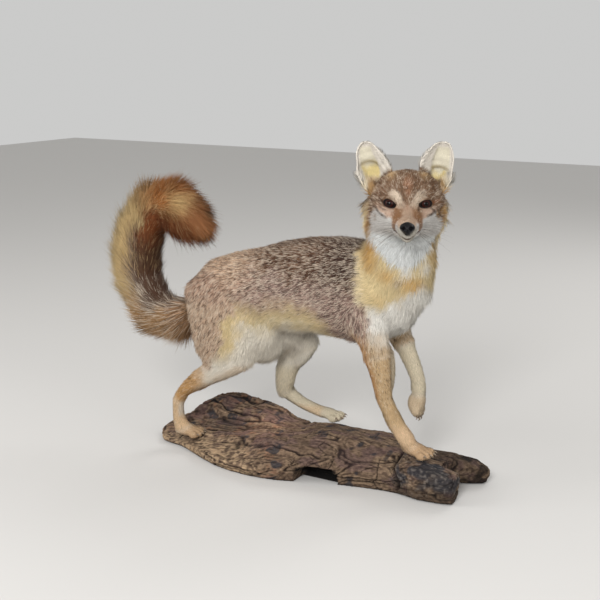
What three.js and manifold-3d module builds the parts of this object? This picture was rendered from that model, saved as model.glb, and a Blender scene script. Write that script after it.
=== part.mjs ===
// A life-size mounted fox on a piece of driftwood, in millimetres, +Z up.
// +X is the way the trunk faces and +Y is the fox's left. The origin is on the driftwood's underside.
// The fox stands on three feet with its left forepaw lifted, its head turned to its right and its tail
// curled up. Every outline here is the outer one, out to the tips of the coat.
import * as THREE from "three";
import { mergeVertices } from "three/addons/utils/BufferGeometryUtils.js";
import Module from "manifold-3d";

const wasm = await Module();
wasm.setup();

// ---------- driving dimensions ----------
const SEAM = 0.35; // gap left between neighbouring pieces
const HEAD_TURN = THREE.MathUtils.degToRad(-65); // heading of the face, from +X towards -Y
const HEAD_AT = [161, -37, 417]; // midway between the eyes
const EYE = { radius: 9, apart: 46, forward: 2.5, up: 0.5 };
const NOSE_TIP = 71; // from between the eyes to the tip of the nose

// ---------- materials ----------
const coatMaterial = (color) => new THREE.MeshStandardMaterial({ color, roughness: 0.9, metalness: 0 });
const grizzledCoat = coatMaterial(0x8a7666);
const tawnyCoat = coatMaterial(0xc99f5e);
const creamCoat = coatMaterial(0xd9c79c);
const tailCoat = coatMaterial(0xa08a58);
const rustyCoat = coatMaterial(0x8a5229);
const earSkin = coatMaterial(0xe6dcae);
const eyeGlass = new THREE.MeshStandardMaterial({ color: 0x2a120c, roughness: 0.08, metalness: 0 });
const noseSkin = new THREE.MeshStandardMaterial({ color: 0x17171a, roughness: 0.45, metalness: 0 });
const weatheredWood = new THREE.MeshStandardMaterial({ color: 0x6d5444, roughness: 0.95, metalness: 0 });

// ---------- solids and meshes ----------
const sideOf = (exponent, value) => Math.sign(value) * Math.abs(value) ** (2 / exponent);

// A closed three.js geometry as a solid that can be joined and cut.
function solid(geometry) {
  const plain = geometry.clone();
  plain.deleteAttribute("normal");
  plain.deleteAttribute("uv");
  const merged = mergeVertices(plain, 1e-4);
  const made = new wasm.Manifold(
    new wasm.Mesh({
      numProp: 3,
      vertProperties: new Float32Array(merged.attributes.position.array),
      triVerts: new Uint32Array(merged.index.array),
    }),
  );
  return made;
}

// The solid as a named mesh, ready for the group.
function meshOf(name, made, material) {
  const largest = made.decompose().sort((a, b) => b.volume() - a.volume())[0];
  const { numProp, vertProperties, triVerts } = largest.getMesh();
  const places = new Float32Array((vertProperties.length / numProp) * 3);
  for (let i = 0; i < places.length / 3; i++) {
    places.set(vertProperties.subarray(i * numProp, i * numProp + 3), i * 3);
  }
  const geometry = new THREE.BufferGeometry()
    .setAttribute("position", new THREE.BufferAttribute(places, 3))
    .setIndex(new THREE.BufferAttribute(triVerts, 1));
  geometry.computeVertexNormals();
  const mesh = new THREE.Mesh(geometry, material);
  mesh.name = name;
  return mesh;
}

// A geometry from rings of points, each ring closed on itself, with a pole at each end.
function skinOver(startPole, rings, endPole) {
  const around = rings[0].length;
  const places = [startPole, ...rings.flat(), endPole];
  const last = places.length - 1;
  const at = (ring, k) => 1 + ring * around + (k % around);
  const faces = [];
  for (let k = 0; k < around; k++) {
    faces.push(0, at(0, k + 1), at(0, k));
    faces.push(last, at(rings.length - 1, k), at(rings.length - 1, k + 1));
    for (let r = 0; r + 1 < rings.length; r++) {
      faces.push(at(r, k), at(r, k + 1), at(r + 1, k));
      faces.push(at(r, k + 1), at(r + 1, k + 1), at(r + 1, k));
    }
  }
  const geometry = new THREE.BufferGeometry().setFromPoints(places);
  geometry.setIndex(faces);
  return geometry;
}

// A smooth curve through rows of three numbers.
function through(rows) {
  const points = rows.map(([a, b, c]) => new THREE.Vector3(a, b, c));
  return new THREE.CatmullRomCurve3(points, false, "centripetal");
}

// A body form along a smooth line. Each station is [x, y, z, half width, depth above, depth below], and a
// seventh number squares the section. "Above" is the line's direction crossed with the sideways one.
function form(stations, { around = 14, steps = 3, cap = 3, side = [0, 1, 0], round = 0.8, place } = {}) {
  const line = through(stations);
  const girth = through(stations.map((station) => station.slice(3, 6)));
  const squareness = (t) => {
    const n = t * (stations.length - 1);
    const i = Math.min(Math.floor(n), stations.length - 2);
    return THREE.MathUtils.lerp(stations[i][6] ?? 2, stations[i + 1][6] ?? 2, n - i);
  };
  return (grow = 0) => {
    const ring = (t, shrink, slide) => {
      const along = line.getTangent(t);
      const across = new THREE.Vector3(...side);
      across.addScaledVector(along, -across.dot(along)).normalize();
      const above = new THREE.Vector3().crossVectors(along, across);
      const centre = line.getPoint(t).addScaledVector(along, slide);
      const size = girth.getPoint(t).addScalar(grow).multiplyScalar(shrink);
      const power = squareness(t);
      const points = [];
      for (let k = 0; k < around; k++) {
        const angle = (k / around) * 2 * Math.PI;
        const up = sideOf(power, Math.sin(angle));
        points.push(
          centre.clone()
            .addScaledVector(across, size.x * sideOf(power, Math.cos(angle)))
            .addScaledVector(above, up * (up > 0 ? size.y : size.z)),
        );
      }
      return points;
    };
    const capLength = (t) => round * Math.min(...girth.getPoint(t).toArray()) + grow;
    const pole = (t, way) => line.getPoint(t).addScaledVector(line.getTangent(t), way * capLength(t));
    const rings = [];
    for (let i = 1; i < cap; i++) {
      const turn = (i / cap) * (Math.PI / 2);
      rings.push(ring(0, Math.sin(turn), -capLength(0) * Math.cos(turn)));
    }
    const total = (stations.length - 1) * steps;
    for (let i = 0; i <= total; i++) rings.push(ring(i / total, 1, 0));
    for (let i = cap - 1; i > 0; i--) {
      const turn = (i / cap) * (Math.PI / 2);
      rings.push(ring(1, Math.sin(turn), capLength(1) * Math.cos(turn)));
    }
    const geometry = skinOver(pole(0, -1), rings, pole(1, 1));
    if (place) geometry.applyMatrix4(place);
    return solid(geometry);
  };
}

// A ball squashed to three half-sizes, at a place.
function ball(at, sizes, { around = 12, place } = {}) {
  return (grow = 0) => {
    const geometry = new THREE.SphereGeometry(1, around, Math.max(4, Math.round(around / 1.6)));
    geometry.scale(...sizes.map((s) => s + grow)).translate(...at);
    if (place) geometry.applyMatrix4(place);
    return solid(geometry);
  };
}

// A flat outline in the x-z plane given depth along y, as a cutter.
function slab(outline, depth, place) {
  const shape = new THREE.Shape(outline.map(([x, z]) => new THREE.Vector2(x, z)));
  const geometry = new THREE.ExtrudeGeometry(shape, { depth, bevelEnabled: false });
  geometry.rotateX(Math.PI / 2).translate(0, depth / 2, 0);
  if (place) geometry.applyMatrix4(place);
  return solid(geometry);
}

const join = (...solids) => solids.reduce((a, b) => a.add(b));
const cut = (from, ...cutters) => cutters.reduce((a, b) => a.subtract(b), from);

// A thin box square to a direction in the x-z plane, as a cutter that parts what crosses it.
function thinGap(at, along, size) {
  const turn = new THREE.Matrix4().makeRotationY(Math.atan2(-along[2], along[0])).setPosition(...at);
  return solid(new THREE.BoxGeometry(...size).applyMatrix4(turn));
}

// ---------- head frame: x forward, y to the fox's left, z up, from between the eyes ----------
const headPlace = new THREE.Matrix4().makeRotationZ(HEAD_TURN).setPosition(...HEAD_AT);

// ---------- trunk and neck, made as one and parted at the shoulder ----------
// The trunk's stations run from the rump to the breast.
const barrel = form(
  [
    [-212, 0, 235, 27, 36, 36],
    [-190, 0, 240, 43, 48, 48],
    [-163, 0, 250, 51, 59, 52, 2.2],
    [-120, 0, 264, 52, 60, 58, 2.2],
    [-82, 0, 272, 50, 61, 66, 2.2],
    [-40, 0, 280, 50, 67, 74, 2.2],
    [2, 0, 286, 54, 70, 75, 2.2],
    [45, 0, 288, 57, 72, 77, 2.2],
    [85, 0, 286, 57, 72, 80, 2.2],
    [120, 0, 280, 53, 62, 74],
    [146, 0, 272, 40, 48, 50],
  ],
  { around: 16, steps: 1, cap: 2, round: 0.55 },
);
const groin = ball([-96, 0, 192], [48, 36, 42], { around: 14 });
const throat = form(
  [
    [98, 0, 290, 47, 40, 79],
    [120, 0, 320, 48, 44, 76],
    [134, 0, 350, 50, 52, 58],
    [138, 0, 378, 52, 56, 50],
    [139, 0, 398, 46, 50, 40],
  ],
  { around: 16, steps: 1, cap: 2, round: 0.5 },
);
// The ruff stands behind the cheeks and turns with the head.
const ruff = form(
  [
    [-48, -2, -58, 50, 36, 22],
    [-51, -2, -32, 60, 36, 24],
    [-52, -2, -4, 63, 32, 24],
    [-48, -2, 18, 50, 22, 22],
  ],
  { around: 14, steps: 1, cap: 3, round: 0.9, place: headPlace },
);
const NECK_SEAM = { at: [118, 0, 298], along: [0.83, 0, 0.56] };

// ---------- head ----------
const skull = form(
  [
    [-52, 0, -16, 34, 48, 28],
    [-38, 0, -17, 50, 61, 36, 2.2],
    [-22, 0, -18, 56, 66, 38, 2.3],
    [-6, 0, -20, 49, 57, 35, 2.2],
    [6, 0, -21, 37, 39, 30, 2.1],
    [20, 0, -22, 25, 21, 25],
    [34, 0, -22.5, 19.5, 13.5, 21.5],
    [50, 0, -23.5, 15, 11, 17.5],
    [62, 0, -24, 11.5, 9, 14.5],
  ],
  { around: 16, steps: 2, cap: 2, round: 0.45, place: headPlace },
);
const nose = ball([NOSE_TIP - 7, 0, -23], [7.5, 10.5, 8.5], { around: 10, place: headPlace });
const eye = (side) => {
  const at = [EYE.forward, (side * EYE.apart) / 2, EYE.up];
  return ball(at, [EYE.radius, EYE.radius, EYE.radius], { around: 10, place: headPlace });
};

// The opening between the lids, as a wide ball in front of the eyeball.
const lidOpening = (side) => {
  const at = [EYE.forward + 16, side * (EYE.apart / 2 + 1.5), EYE.up];
  return ball(at, [14, 9.5, 7.5], { around: 8, place: headPlace });
};

// The lower jaw is what lies under the mouth line, which runs from the lips to the corner of the mouth.
const MOUTH = { corner: [8, -46], bottom: -90, wide: 60 };
const mouthLine = [[90, -32.5], [48, -33], [30, -35], [20, -38]];
const jawSpace = (grow) => {
  const top = mouthLine.map(([x, z]) => [x, z + grow]);
  const [corner, corner_z] = MOUTH.corner;
  const outline = [...top, [corner - grow, corner_z], [corner - grow, MOUTH.bottom], [90, MOUTH.bottom]];
  return slab(outline, MOUTH.wide, headPlace);
};

// A cupped ear, open to the front. Heights and widths are from the head's frame, for the left ear.
const EAR = { foot: 8, tip: 79, forward: -24, thick: 3.2, rows: 7, columns: 6, shift: -2 };
const earShape = [
  // [share of the height, middle, half width, depth of the cup]
  [0, 44, 15, 17],
  [0.2, 45.5, 20, 17],
  [0.42, 44.5, 21.5, 15],
  [0.62, 43.5, 21.5, 12],
  [0.78, 45.5, 18, 9],
  [0.9, 48, 11.5, 6],
  [1, 50, 4.5, 4],
];
function ear(side) {
  const curve = through(earShape.map((level) => level.slice(1)));
  const heights = through(earShape.map(([height]) => [height, 0, 0]));
  const sheet = (inset) => {
    const points = [];
    for (let r = 0; r <= EAR.rows; r++) {
      const t = r / EAR.rows;
      const { x: middle, y: width, z: depth } = curve.getPoint(t);
      const height = heights.getPoint(t).x * (EAR.tip - EAR.foot) + EAR.foot - (t === 1 ? inset : 0);
      for (let c = 0; c <= EAR.columns; c++) {
        const bend = (c / EAR.columns - 0.5) * Math.PI;
        points.push(
          new THREE.Vector3(
            EAR.forward - (depth - inset) * Math.cos(bend) + 6 * t,
            side * (middle + (width - inset) * Math.sin(bend)) + EAR.shift,
            height,
          ),
        );
      }
    }
    return points;
  };
  const outer = sheet(0);
  const places = [...outer, ...sheet(EAR.thick)];
  const last = EAR.columns;
  const row = last + 1;
  const behind = (r, c) => r * row + c;
  const within = (r, c) => outer.length + r * row + c;
  const faces = [];
  const quad = (a, b, c, d) => (side > 0 ? faces.push(a, b, c, a, c, d) : faces.push(a, c, b, a, d, c));
  for (let r = 0; r < EAR.rows; r++) {
    for (let c = 0; c < last; c++) {
      quad(behind(r, c), behind(r + 1, c), behind(r + 1, c + 1), behind(r, c + 1));
      quad(within(r, c), within(r, c + 1), within(r + 1, c + 1), within(r + 1, c));
    }
    quad(behind(r, 0), within(r, 0), within(r + 1, 0), behind(r + 1, 0));
    quad(within(r, last), behind(r, last), behind(r + 1, last), within(r + 1, last));
  }
  for (let c = 0; c < last; c++) {
    quad(within(0, c), behind(0, c), behind(0, c + 1), within(0, c + 1));
    quad(behind(EAR.rows, c), within(EAR.rows, c), within(EAR.rows, c + 1), behind(EAR.rows, c + 1));
  }
  const geometry = new THREE.BufferGeometry().setFromPoints(places);
  geometry.setIndex(faces);
  geometry.applyMatrix4(headPlace);
  return solid(geometry);
}

// ---------- tail, from its root round to the tip ----------
const tailStations = [
  [-214, 0, 228, 20, 24, 22],
  [-250, 0, 205, 33, 62, 24],
  [-292, 0, 208, 39, 64, 42],
  [-322, 0, 248, 42, 54, 44],
  [-326, 0, 292, 43, 54, 46],
  [-318, 0, 334, 42, 48, 44],
  [-292, 0, 372, 40, 47, 46],
  [-256, 0, 384, 38, 50, 60],
  [-222, 0, 370, 33, 30, 46],
  [-203, 0, 352, 22, 18, 24],
];
const tail = form(tailStations, { around: 14, steps: 1, cap: 2, round: 0.8 });
// A thin gap square to the tail at one of its stations.
const tailGap = (station) => {
  const placeOf = (n) => new THREE.Vector3(...tailStations[n].slice(0, 3));
  const [before, here, next] = [station - 1, station, station + 1].map(placeOf);
  return thinGap(here.toArray(), next.sub(before).toArray(), [SEAM, 300, 190]);
};

// ---------- legs ----------
const THIGH = { around: 16, steps: 2, cap: 2, round: 0.7 };
const LEG = { around: 10, steps: 1, cap: 2 };
const legs = {
  thigh_right: form(
    [
      [-192, -32, 264, 22, 44, 26],
      [-168, -36, 236, 25, 58, 46],
      [-140, -40, 206, 23, 48, 68],
      [-112, -43, 172, 18, 36, 64],
    ],
    THIGH,
  ),
  thigh_left: form(
    [
      [-174, 32, 266, 22, 40, 34],
      [-142, 36, 238, 25, 54, 54],
      [-100, 41, 208, 23, 56, 64],
      [-54, 43, 178, 18, 48, 36],
    ],
    THIGH,
  ),
  // From the knee, past the hock, to above the hind paw.
  hind_right: form(
    [
      [-102, -43, 166, 14, 22, 24],
      [-140, -43, 142, 14.5, 19, 25],
      [-180, -42, 118, 13, 14, 21],
      [-212, -40, 97, 11, 12, 13],
      [-227, -39, 78, 10.5, 12, 11],
      [-229, -38, 60, 10, 11, 11],
      [-228, -36, 44, 11, 12, 13],
      [-224, -34, 32, 12, 14, 14],
    ],
    LEG,
  ),
  hind_left: form(
    [
      [-56, 45, 176, 14, 28, 30],
      [-68, 46, 148, 14.5, 22, 26],
      [-80, 47, 122, 13.5, 18, 20],
      [-80, 47, 102, 12.5, 13, 15],
      [-70, 47, 88, 12, 11, 13],
      [-52, 47, 79, 12, 10, 11],
      [-34, 47, 73, 12, 10, 10],
      [-14, 47, 68, 13, 10, 9],
    ],
    LEG,
  ),
  // From the shoulder, past the elbow, to above the forepaw.
  fore_right: form(
    [
      [88, -32, 262, 20, 34, 28],
      [104, -38, 236, 20, 34, 26],
      [116, -40, 212, 17, 28, 24],
      [123, -39, 190, 15, 20, 20],
      [127, -37, 166, 14, 16, 16],
      [131, -34, 138, 12.5, 13, 14],
      [142, -29, 110, 12, 13, 13],
      [154, -24, 88, 12.5, 14, 13],
      [162, -21, 76, 13.5, 14, 13],
    ],
    LEG,
  ),
  fore_left: form(
    [
      [92, 32, 262, 20, 34, 28],
      [106, 38, 236, 20, 30, 26],
      [120, 40, 212, 16, 20, 22],
      [130, 40, 192, 13.5, 15, 16],
      [139, 41, 172, 12, 14, 14],
      [148, 42, 150, 11, 12.5, 13],
      [150, 42, 134, 11.5, 12.5, 14],
    ],
    LEG,
  ),
};
// Where each long form is parted, and which way it runs there.
const JOINTS = {
  hind_right: { at: [-225, 0, 84], along: [-0.35, 0, -0.94], names: ["shin_right", "hock_right"] },
  hind_left: { at: [-77, 0, 94], along: [0.45, 0, -0.89], names: ["shin_left", "hock_left"] },
  fore_right: { at: [119, 0, 202], along: [0.3, 0, -0.95], names: ["upper_arm_right", "forearm_right"] },
  fore_left: { at: [125, 0, 202], along: [0.42, 0, -0.91], names: ["upper_arm_left", "forearm_left"] },
};

// A paw pointing along a heading: a palm and four toes. The toes of a hanging paw point down.
function paw(at, heading, { length = 34, wide = 15, high = 12, drop = 0, toe = 8.5 } = {}) {
  const place = new THREE.Matrix4()
    .makeRotationFromEuler(new THREE.Euler(0, drop, THREE.MathUtils.degToRad(heading), "ZYX"))
    .setPosition(...at);
  const palm = form(
    [
      [-length * 0.45, 0, high * 0.1, wide * 0.78, high * 0.95, high * 0.85],
      [0, 0, 0, wide, high, high * 0.9],
      [length * 0.32, 0, -high * 0.15, wide * 0.95, high * 0.75, high * 0.7],
    ],
    { around: 8, steps: 1, cap: 2, place },
  );
  const toes = [-1.5, -0.5, 0.5, 1.5].map((k) =>
    ball(
      [length * (0.52 - 0.07 * Math.abs(k) ** 1.6), k * wide * 0.56, -high * 0.28],
      [length * 0.27, toe * 0.68, toe],
      { around: 6, place },
    ),
  );
  return (grow = 0) => join(palm(grow), ...toes.map((t) => t(grow)));
}

const paws = {
  paw_hind_right: paw([-215, -31, 27], 10, { length: 36 }),
  paw_hind_left: paw([-3, 47, 68], -4, { length: 36, high: 10 }),
  paw_fore_right: paw([174, -17, 64], -10, { length: 38 }),
  paw_fore_left: paw([151, 42, 116], 0, { length: 36, high: 11, wide: 13, drop: Math.PI * 0.46 }),
};

// ---------- driftwood ----------
// Each row across the wood: [x, front y, back y, front top z, back top z, crest share, crest z].
const woodRows = [
  [-283, -12, 12, 8, 12, 0.5, 13],
  [-260, -36, 44, 9, 34, 0.5, 18],
  [-225, -42, 72, 11, 56, 0.5, 24],
  [-190, -58, 88, 13, 64, 0.5, 30],
  [-130, -84, 82, 15, 58, 0.5, 36],
  [-70, -92, 72, 20, 48, 0.45, 44],
  [-20, -86, 62, 30, 46, 0.45, 54],
  [30, -66, 66, 38, 48, 0.45, 60],
  [80, -52, 74, 40, 48, 0.45, 60],
  [130, -42, 66, 40, 44, 0.45, 54],
  [175, -40, 52, 40, 40, 0.45, 50],
  [205, -36, 40, 36, 36, 0.45, 46],
];
const woodWobble = (x, y) => 2.2 * Math.sin(x / 17 + y / 31) + 1.6 * Math.sin(y / 9 + x / 43) - 1;

function woodSlab() {
  const lerp = THREE.MathUtils.lerp;
  const across = 8;
  const along = 2;
  const curves = [1, 2, 3, 4, 5, 6].map((column) => through(woodRows.map((row) => [row[0], row[column], 0])));
  const rings = [];
  const total = (woodRows.length - 1) * along;
  for (let i = 0; i <= total; i++) {
    const t = i / total;
    const [front, back, low, high, crestShare, crest] = curves.map((c) => c.getPoint(t).y);
    const x = curves[0].getPoint(t).x;
    const ring = [];
    for (let k = 0; k <= across; k++) {
      const share = k / across;
      const y = lerp(front, back, share);
      const a = share < crestShare ? share / crestShare : (share - crestShare) / (1 - crestShare);
      const ease = a * a * (3 - 2 * a);
      const z = share < crestShare ? lerp(low, crest, ease) : lerp(crest, high, ease);
      ring.push(new THREE.Vector3(x, y, Math.max(5, z + woodWobble(x, y))));
    }
    ring.push(new THREE.Vector3(x, back + 3, Math.max(3, high * 0.5)));
    ring.push(new THREE.Vector3(x, back - 4, 0));
    ring.push(new THREE.Vector3(x, front + 4, 0));
    ring.push(new THREE.Vector3(x, front - 2, Math.max(2, low * 0.5)));
    rings.push(ring.reverse());
  }
  const middle = (ring, step) => {
    const sum = ring.reduce((a, p) => a.add(p), new THREE.Vector3()).divideScalar(ring.length);
    return sum.setX(sum.x + step).setZ(Math.max(1, sum.z));
  };
  return solid(skinOver(middle(rings[0], -6), rings, middle(rings[total], 6)));
}

const woodBlock = form(
  [
    [150, -22, 22, 20, 24, 22, 4],
    [190, -26, 22, 24, 26, 22, 5],
    [222, -24, 22, 22, 22, 22, 5],
    [238, -22, 21, 19, 21, 21, 4],
  ],
  { around: 16, steps: 1, cap: 2, round: 0.18 },
);
const woodLobe = form(
  [
    [160, 40, 22, 20, 22, 22, 3],
    [205, 50, 21, 22, 20, 21, 3],
    [235, 60, 18, 19, 16, 18, 2.6],
    [250, 64, 14, 12, 12, 14, 2.4],
  ],
  { around: 12, steps: 1, cap: 2, round: 0.6 },
);
const CAVE = { from: 8, to: 66, high: 26, deep: 44, mouth: -88 };
const caveOutline = [
  [CAVE.from - 6, -10],
  [CAVE.from, CAVE.high * 0.6],
  [CAVE.from + 14, CAVE.high],
  [CAVE.to - 8, CAVE.high - 2],
  [CAVE.to, 8],
  [CAVE.to, -10],
];
const cave = slab(caveOutline, CAVE.deep * 2, new THREE.Matrix4().makeTranslation(0, CAVE.mouth, 0));
const floorBelow = solid(new THREE.BoxGeometry(900, 500, 60).translate(0, 0, -30));

// ---------- parting the whole fox with thin seams ----------
const seam = (f) => f(SEAM);
const limbs = { ...legs, ...paws };
const whole = Object.fromEntries(Object.entries(limbs).map(([name, f]) => [name, f()]));
const grown = Object.fromEntries(Object.entries(limbs).map(([name, f]) => [name, seam(f)]));

const parts = [];
const keep = (name, made, material) => parts.push([name, made, material]);

const eyes = { eye_left: eye(1), eye_right: eye(-1) };
const sockets = [seam(eyes.eye_left), seam(eyes.eye_right), lidOpening(1)(), lidOpening(-1)()];
const face = cut(skull(), seam(nose), ...sockets);
keep("head", cut(face, jawSpace(SEAM)), grizzledCoat);
keep("lower_jaw", face.intersect(jawSpace(0)), creamCoat);
keep("nose", nose(), noseSkin);
keep("eye_left", eyes.eye_left(), eyeGlass);
keep("eye_right", eyes.eye_right(), eyeGlass);
keep("ear_left", cut(ear(1), seam(skull)), earSkin);
keep("ear_right", cut(ear(-1), seam(skull)), earSkin);

const heightOf = (made) => made.boundingBox().max[2];
const byHeight = (a, b) => heightOf(b) - heightOf(a);
const upperLegs = ["thigh_right", "thigh_left", "fore_right", "fore_left"];
const torso = cut(
  join(barrel(), groin(), throat(), ruff()),
  seam(skull),
  ear(1),
  ear(-1),
  ...upperLegs.map((name) => grown[name]),
  thinGap(NECK_SEAM.at, NECK_SEAM.along, [SEAM, 300, 300]),
);
const [neckPiece, trunkPiece] = torso.decompose().filter((piece) => piece.volume() > 1e5).sort(byHeight);
keep("trunk", trunkPiece, grizzledCoat);
keep("neck", neckPiece, tawnyCoat);
const torsoGrown = join(seam(barrel), seam(groin), seam(throat), seam(ruff));

keep("thigh_right", whole.thigh_right, grizzledCoat);
keep("thigh_left", whole.thigh_left, grizzledCoat);
const beyondThigh = {
  hind_right: [grown.thigh_right, torsoGrown],
  hind_left: [grown.thigh_left, torsoGrown],
};
const tawnyLegs = ["upper_arm_right", "forearm_right", "hock_right", "hock_left"];
for (const [name, { at, along, names }] of Object.entries(JOINTS)) {
  const limb = cut(whole[name], ...(beyondThigh[name] ?? []), thinGap(at, along, [SEAM, 200, 110]));
  const pieces = limb.decompose().sort((a, b) => b.volume() - a.volume()).slice(0, 2).sort(byHeight);
  names.forEach((piece, i) => keep(piece, pieces[i], tawnyLegs.includes(piece) ? tawnyCoat : creamCoat));
}
for (const name of Object.keys(paws)) {
  keep(name, cut(whole[name], grown[name.replace("paw_", "")]), tawnyCoat);
}

const brush = cut(tail(), torsoGrown, grown.thigh_right, grown.thigh_left, tailGap(3), tailGap(6));
const tailPieces = brush.decompose().filter((piece) => piece.volume() > 2e4);
const tailRoot = tailPieces.find((piece) => piece.boundingBox().min[2] < 160);
const tailTip = tailPieces.find((piece) => piece.boundingBox().max[0] > -230 && piece !== tailRoot);
keep("tail_root", tailRoot, tailCoat);
keep("tail_middle", tailPieces.find((piece) => piece !== tailRoot && piece !== tailTip), tailCoat);
keep("tail_tip", tailTip, rustyCoat);

const feet = ["paw_hind_right", "paw_hind_left", "paw_fore_right", "hind_right", "hind_left"];
const footprints = feet.map((name) => grown[name]);
const wood = cut(join(woodSlab(), woodBlock(), woodLobe()), cave, floorBelow, ...footprints);
keep("driftwood", wood, weatheredWood);

// ---------- the group ----------
const fox = new THREE.Group();
for (const [name, made, material] of parts) fox.add(meshOf(name, made, material));

export default fox;
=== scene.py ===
"""A life-size mounted fox on driftwood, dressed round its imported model.

The flesh nodes give way to one skin that lies inside them by the depth of the coat. Over it the coat grows
as thousands of small closed locks, in pieces named for the body. Eyes, nose, claws and whiskers stay apart,
and the driftwood is carved again with its fibres, plates and cracks. Lengths are metres, and small ones are
written in millimetres times MM.
"""

import math

import bpy
import numpy as np
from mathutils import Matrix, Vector
from mathutils.bvhtree import BVHTree


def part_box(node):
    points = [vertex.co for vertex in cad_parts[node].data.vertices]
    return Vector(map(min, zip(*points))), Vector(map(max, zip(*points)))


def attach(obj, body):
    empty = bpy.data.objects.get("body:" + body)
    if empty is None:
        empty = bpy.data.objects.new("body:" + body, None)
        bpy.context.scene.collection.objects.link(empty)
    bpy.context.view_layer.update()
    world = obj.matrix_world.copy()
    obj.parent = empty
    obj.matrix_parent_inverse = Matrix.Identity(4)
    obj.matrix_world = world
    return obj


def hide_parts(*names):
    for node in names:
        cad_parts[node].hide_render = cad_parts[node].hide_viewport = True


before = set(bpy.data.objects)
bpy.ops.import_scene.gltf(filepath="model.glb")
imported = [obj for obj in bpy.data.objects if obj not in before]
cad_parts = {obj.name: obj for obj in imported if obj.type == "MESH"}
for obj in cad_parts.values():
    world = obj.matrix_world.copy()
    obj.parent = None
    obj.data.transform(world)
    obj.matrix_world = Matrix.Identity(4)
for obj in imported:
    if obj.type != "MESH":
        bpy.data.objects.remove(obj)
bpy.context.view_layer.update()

MM = 0.001
SEED = 417
MERGE = 1e-6  # corners nearer than this are one

# ---------- nodes of the frame ----------
HARD_NODES = ["nose", "eye_left", "eye_right", "driftwood"]
TAIL_NODES = ["tail_root", "tail_middle", "tail_tip"]
EAR_NODES = ["ear_left", "ear_right"]
FLESH_NODES = sorted(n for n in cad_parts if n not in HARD_NODES)
CORE_NODES = [n for n in FLESH_NODES if n not in TAIL_NODES + EAR_NODES]


def middle_of(node):
    low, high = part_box(node)
    return (low + high) / 2


# ---------- the head's own frame: forward, left and up from between the eyes, in mm ----------
EYE = {"radius": 9.0, "forward": 2.5, "apart": 46.0, "up": 0.5}
HEAD_LEFT = (middle_of("eye_left") - middle_of("eye_right")).normalized()
HEAD_UP = Vector((0, 0, 1))
HEAD_FORWARD = HEAD_LEFT.cross(HEAD_UP)
HEAD_AXES = np.array([HEAD_FORWARD, HEAD_LEFT, HEAD_UP])
HEAD_AT = np.array((middle_of("eye_left") + middle_of("eye_right")) / 2)
HEAD_AT = HEAD_AT - (EYE["forward"] * HEAD_AXES[0] + EYE["up"] * HEAD_AXES[2]) * MM


def to_head(points):
    """Places in the head's frame, in millimetres."""
    return (np.asarray(points) - HEAD_AT) @ HEAD_AXES.T / MM


def from_head(points):
    """Places in the row's frame, in metres, from millimetres in the head's frame."""
    return np.asarray(points, float) * MM @ HEAD_AXES + HEAD_AT


# ---------- number helpers ----------
def step(low, high, value):
    """0 below low, 1 above high, smooth between; low may be the larger."""
    t = np.clip((value - low) / (high - low), 0, 1)
    return t * t * (3 - 2 * t)


def mix(a, b, share):
    """Colours between a and b, by one share or by one for each place."""
    share = np.asarray(share, float)
    return a + (b - a) * (share[:, None] if share.ndim == 1 else share)


def unit(vectors):
    return vectors / np.maximum(np.linalg.norm(vectors, axis=-1, keepdims=True), 1e-12)


def egg_gap(points, at, sizes):
    """How far each place is from the middle of an egg-shaped form: 1 on its surface."""
    return np.linalg.norm((points - np.array(at)) / np.array(sizes), axis=1)


def line_gap(points, start, end):
    """How far each place is from a straight line between two places."""
    run = end - start
    t = ((points - start) @ run / (run @ run)).clip(0, 1)
    return np.linalg.norm(points - start - t[:, None] * run, axis=1)


def linear(hex_colour):
    """A linear colour from six hex digits."""
    parts = np.array([int(hex_colour[i : i + 2], 16) for i in (0, 2, 4)]) / 255
    return np.where(parts <= 0.04045, parts / 12.92, ((parts + 0.055) / 1.055) ** 2.4)


def noise(points, size, seed=0):
    """Smooth noise from -1 to 1 whose lumps are size metres across."""
    at = np.asarray(points, float) / size
    cell = np.floor(at).astype(np.int64)
    part = at - cell
    part = part * part * (3 - 2 * part)
    total = np.zeros(len(at))
    for corner in np.ndindex(2, 2, 2):
        key = (cell + corner).astype(np.uint64)
        mixed = key[:, 0] * np.uint64(73856093) ^ key[:, 1] * np.uint64(19349663)
        mixed ^= key[:, 2] * np.uint64(83492791) ^ np.uint64(seed * 2654435761 + 97)
        mixed ^= mixed >> np.uint64(13)
        mixed *= np.uint64(1274126177)
        mixed ^= mixed >> np.uint64(16)
        value = (mixed & np.uint64(0xFFFF)).astype(float) / 32767.5 - 1
        weight = np.ones(len(at))
        for axis, side in enumerate(corner):
            weight *= part[:, axis] if side else 1 - part[:, axis]
        total += weight * value
    return total


# ---------- object helpers ----------
def alone(*objects):
    """Selects only these objects, the first of them active."""
    if bpy.context.object and bpy.context.object.mode != "OBJECT":
        bpy.ops.object.mode_set(mode="OBJECT")
    bpy.ops.object.select_all(action="DESELECT")
    for piece in objects:
        piece.select_set(True)
    bpy.context.view_layer.objects.active = objects[0]
    return objects[0]


def joined(name, *objects):
    """The first of these objects with all the others in it, under a new name."""
    alone(*objects)
    if len(objects) > 1:
        bpy.ops.object.join()
    return named(objects[0], name)


def named(piece, name):
    piece.name = name
    piece.data.name = name
    return piece


def new_piece(name, data):
    piece = bpy.data.objects.new(name, data)
    bpy.context.scene.collection.objects.link(piece)
    return piece


def edit(piece, work, **settings):
    """Runs one mesh operator on the whole of a piece."""
    alone(piece)
    bpy.ops.object.mode_set(mode="EDIT")
    bpy.ops.mesh.select_all(action="SELECT")
    work(**settings)
    bpy.ops.object.mode_set(mode="OBJECT")
    return piece


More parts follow.
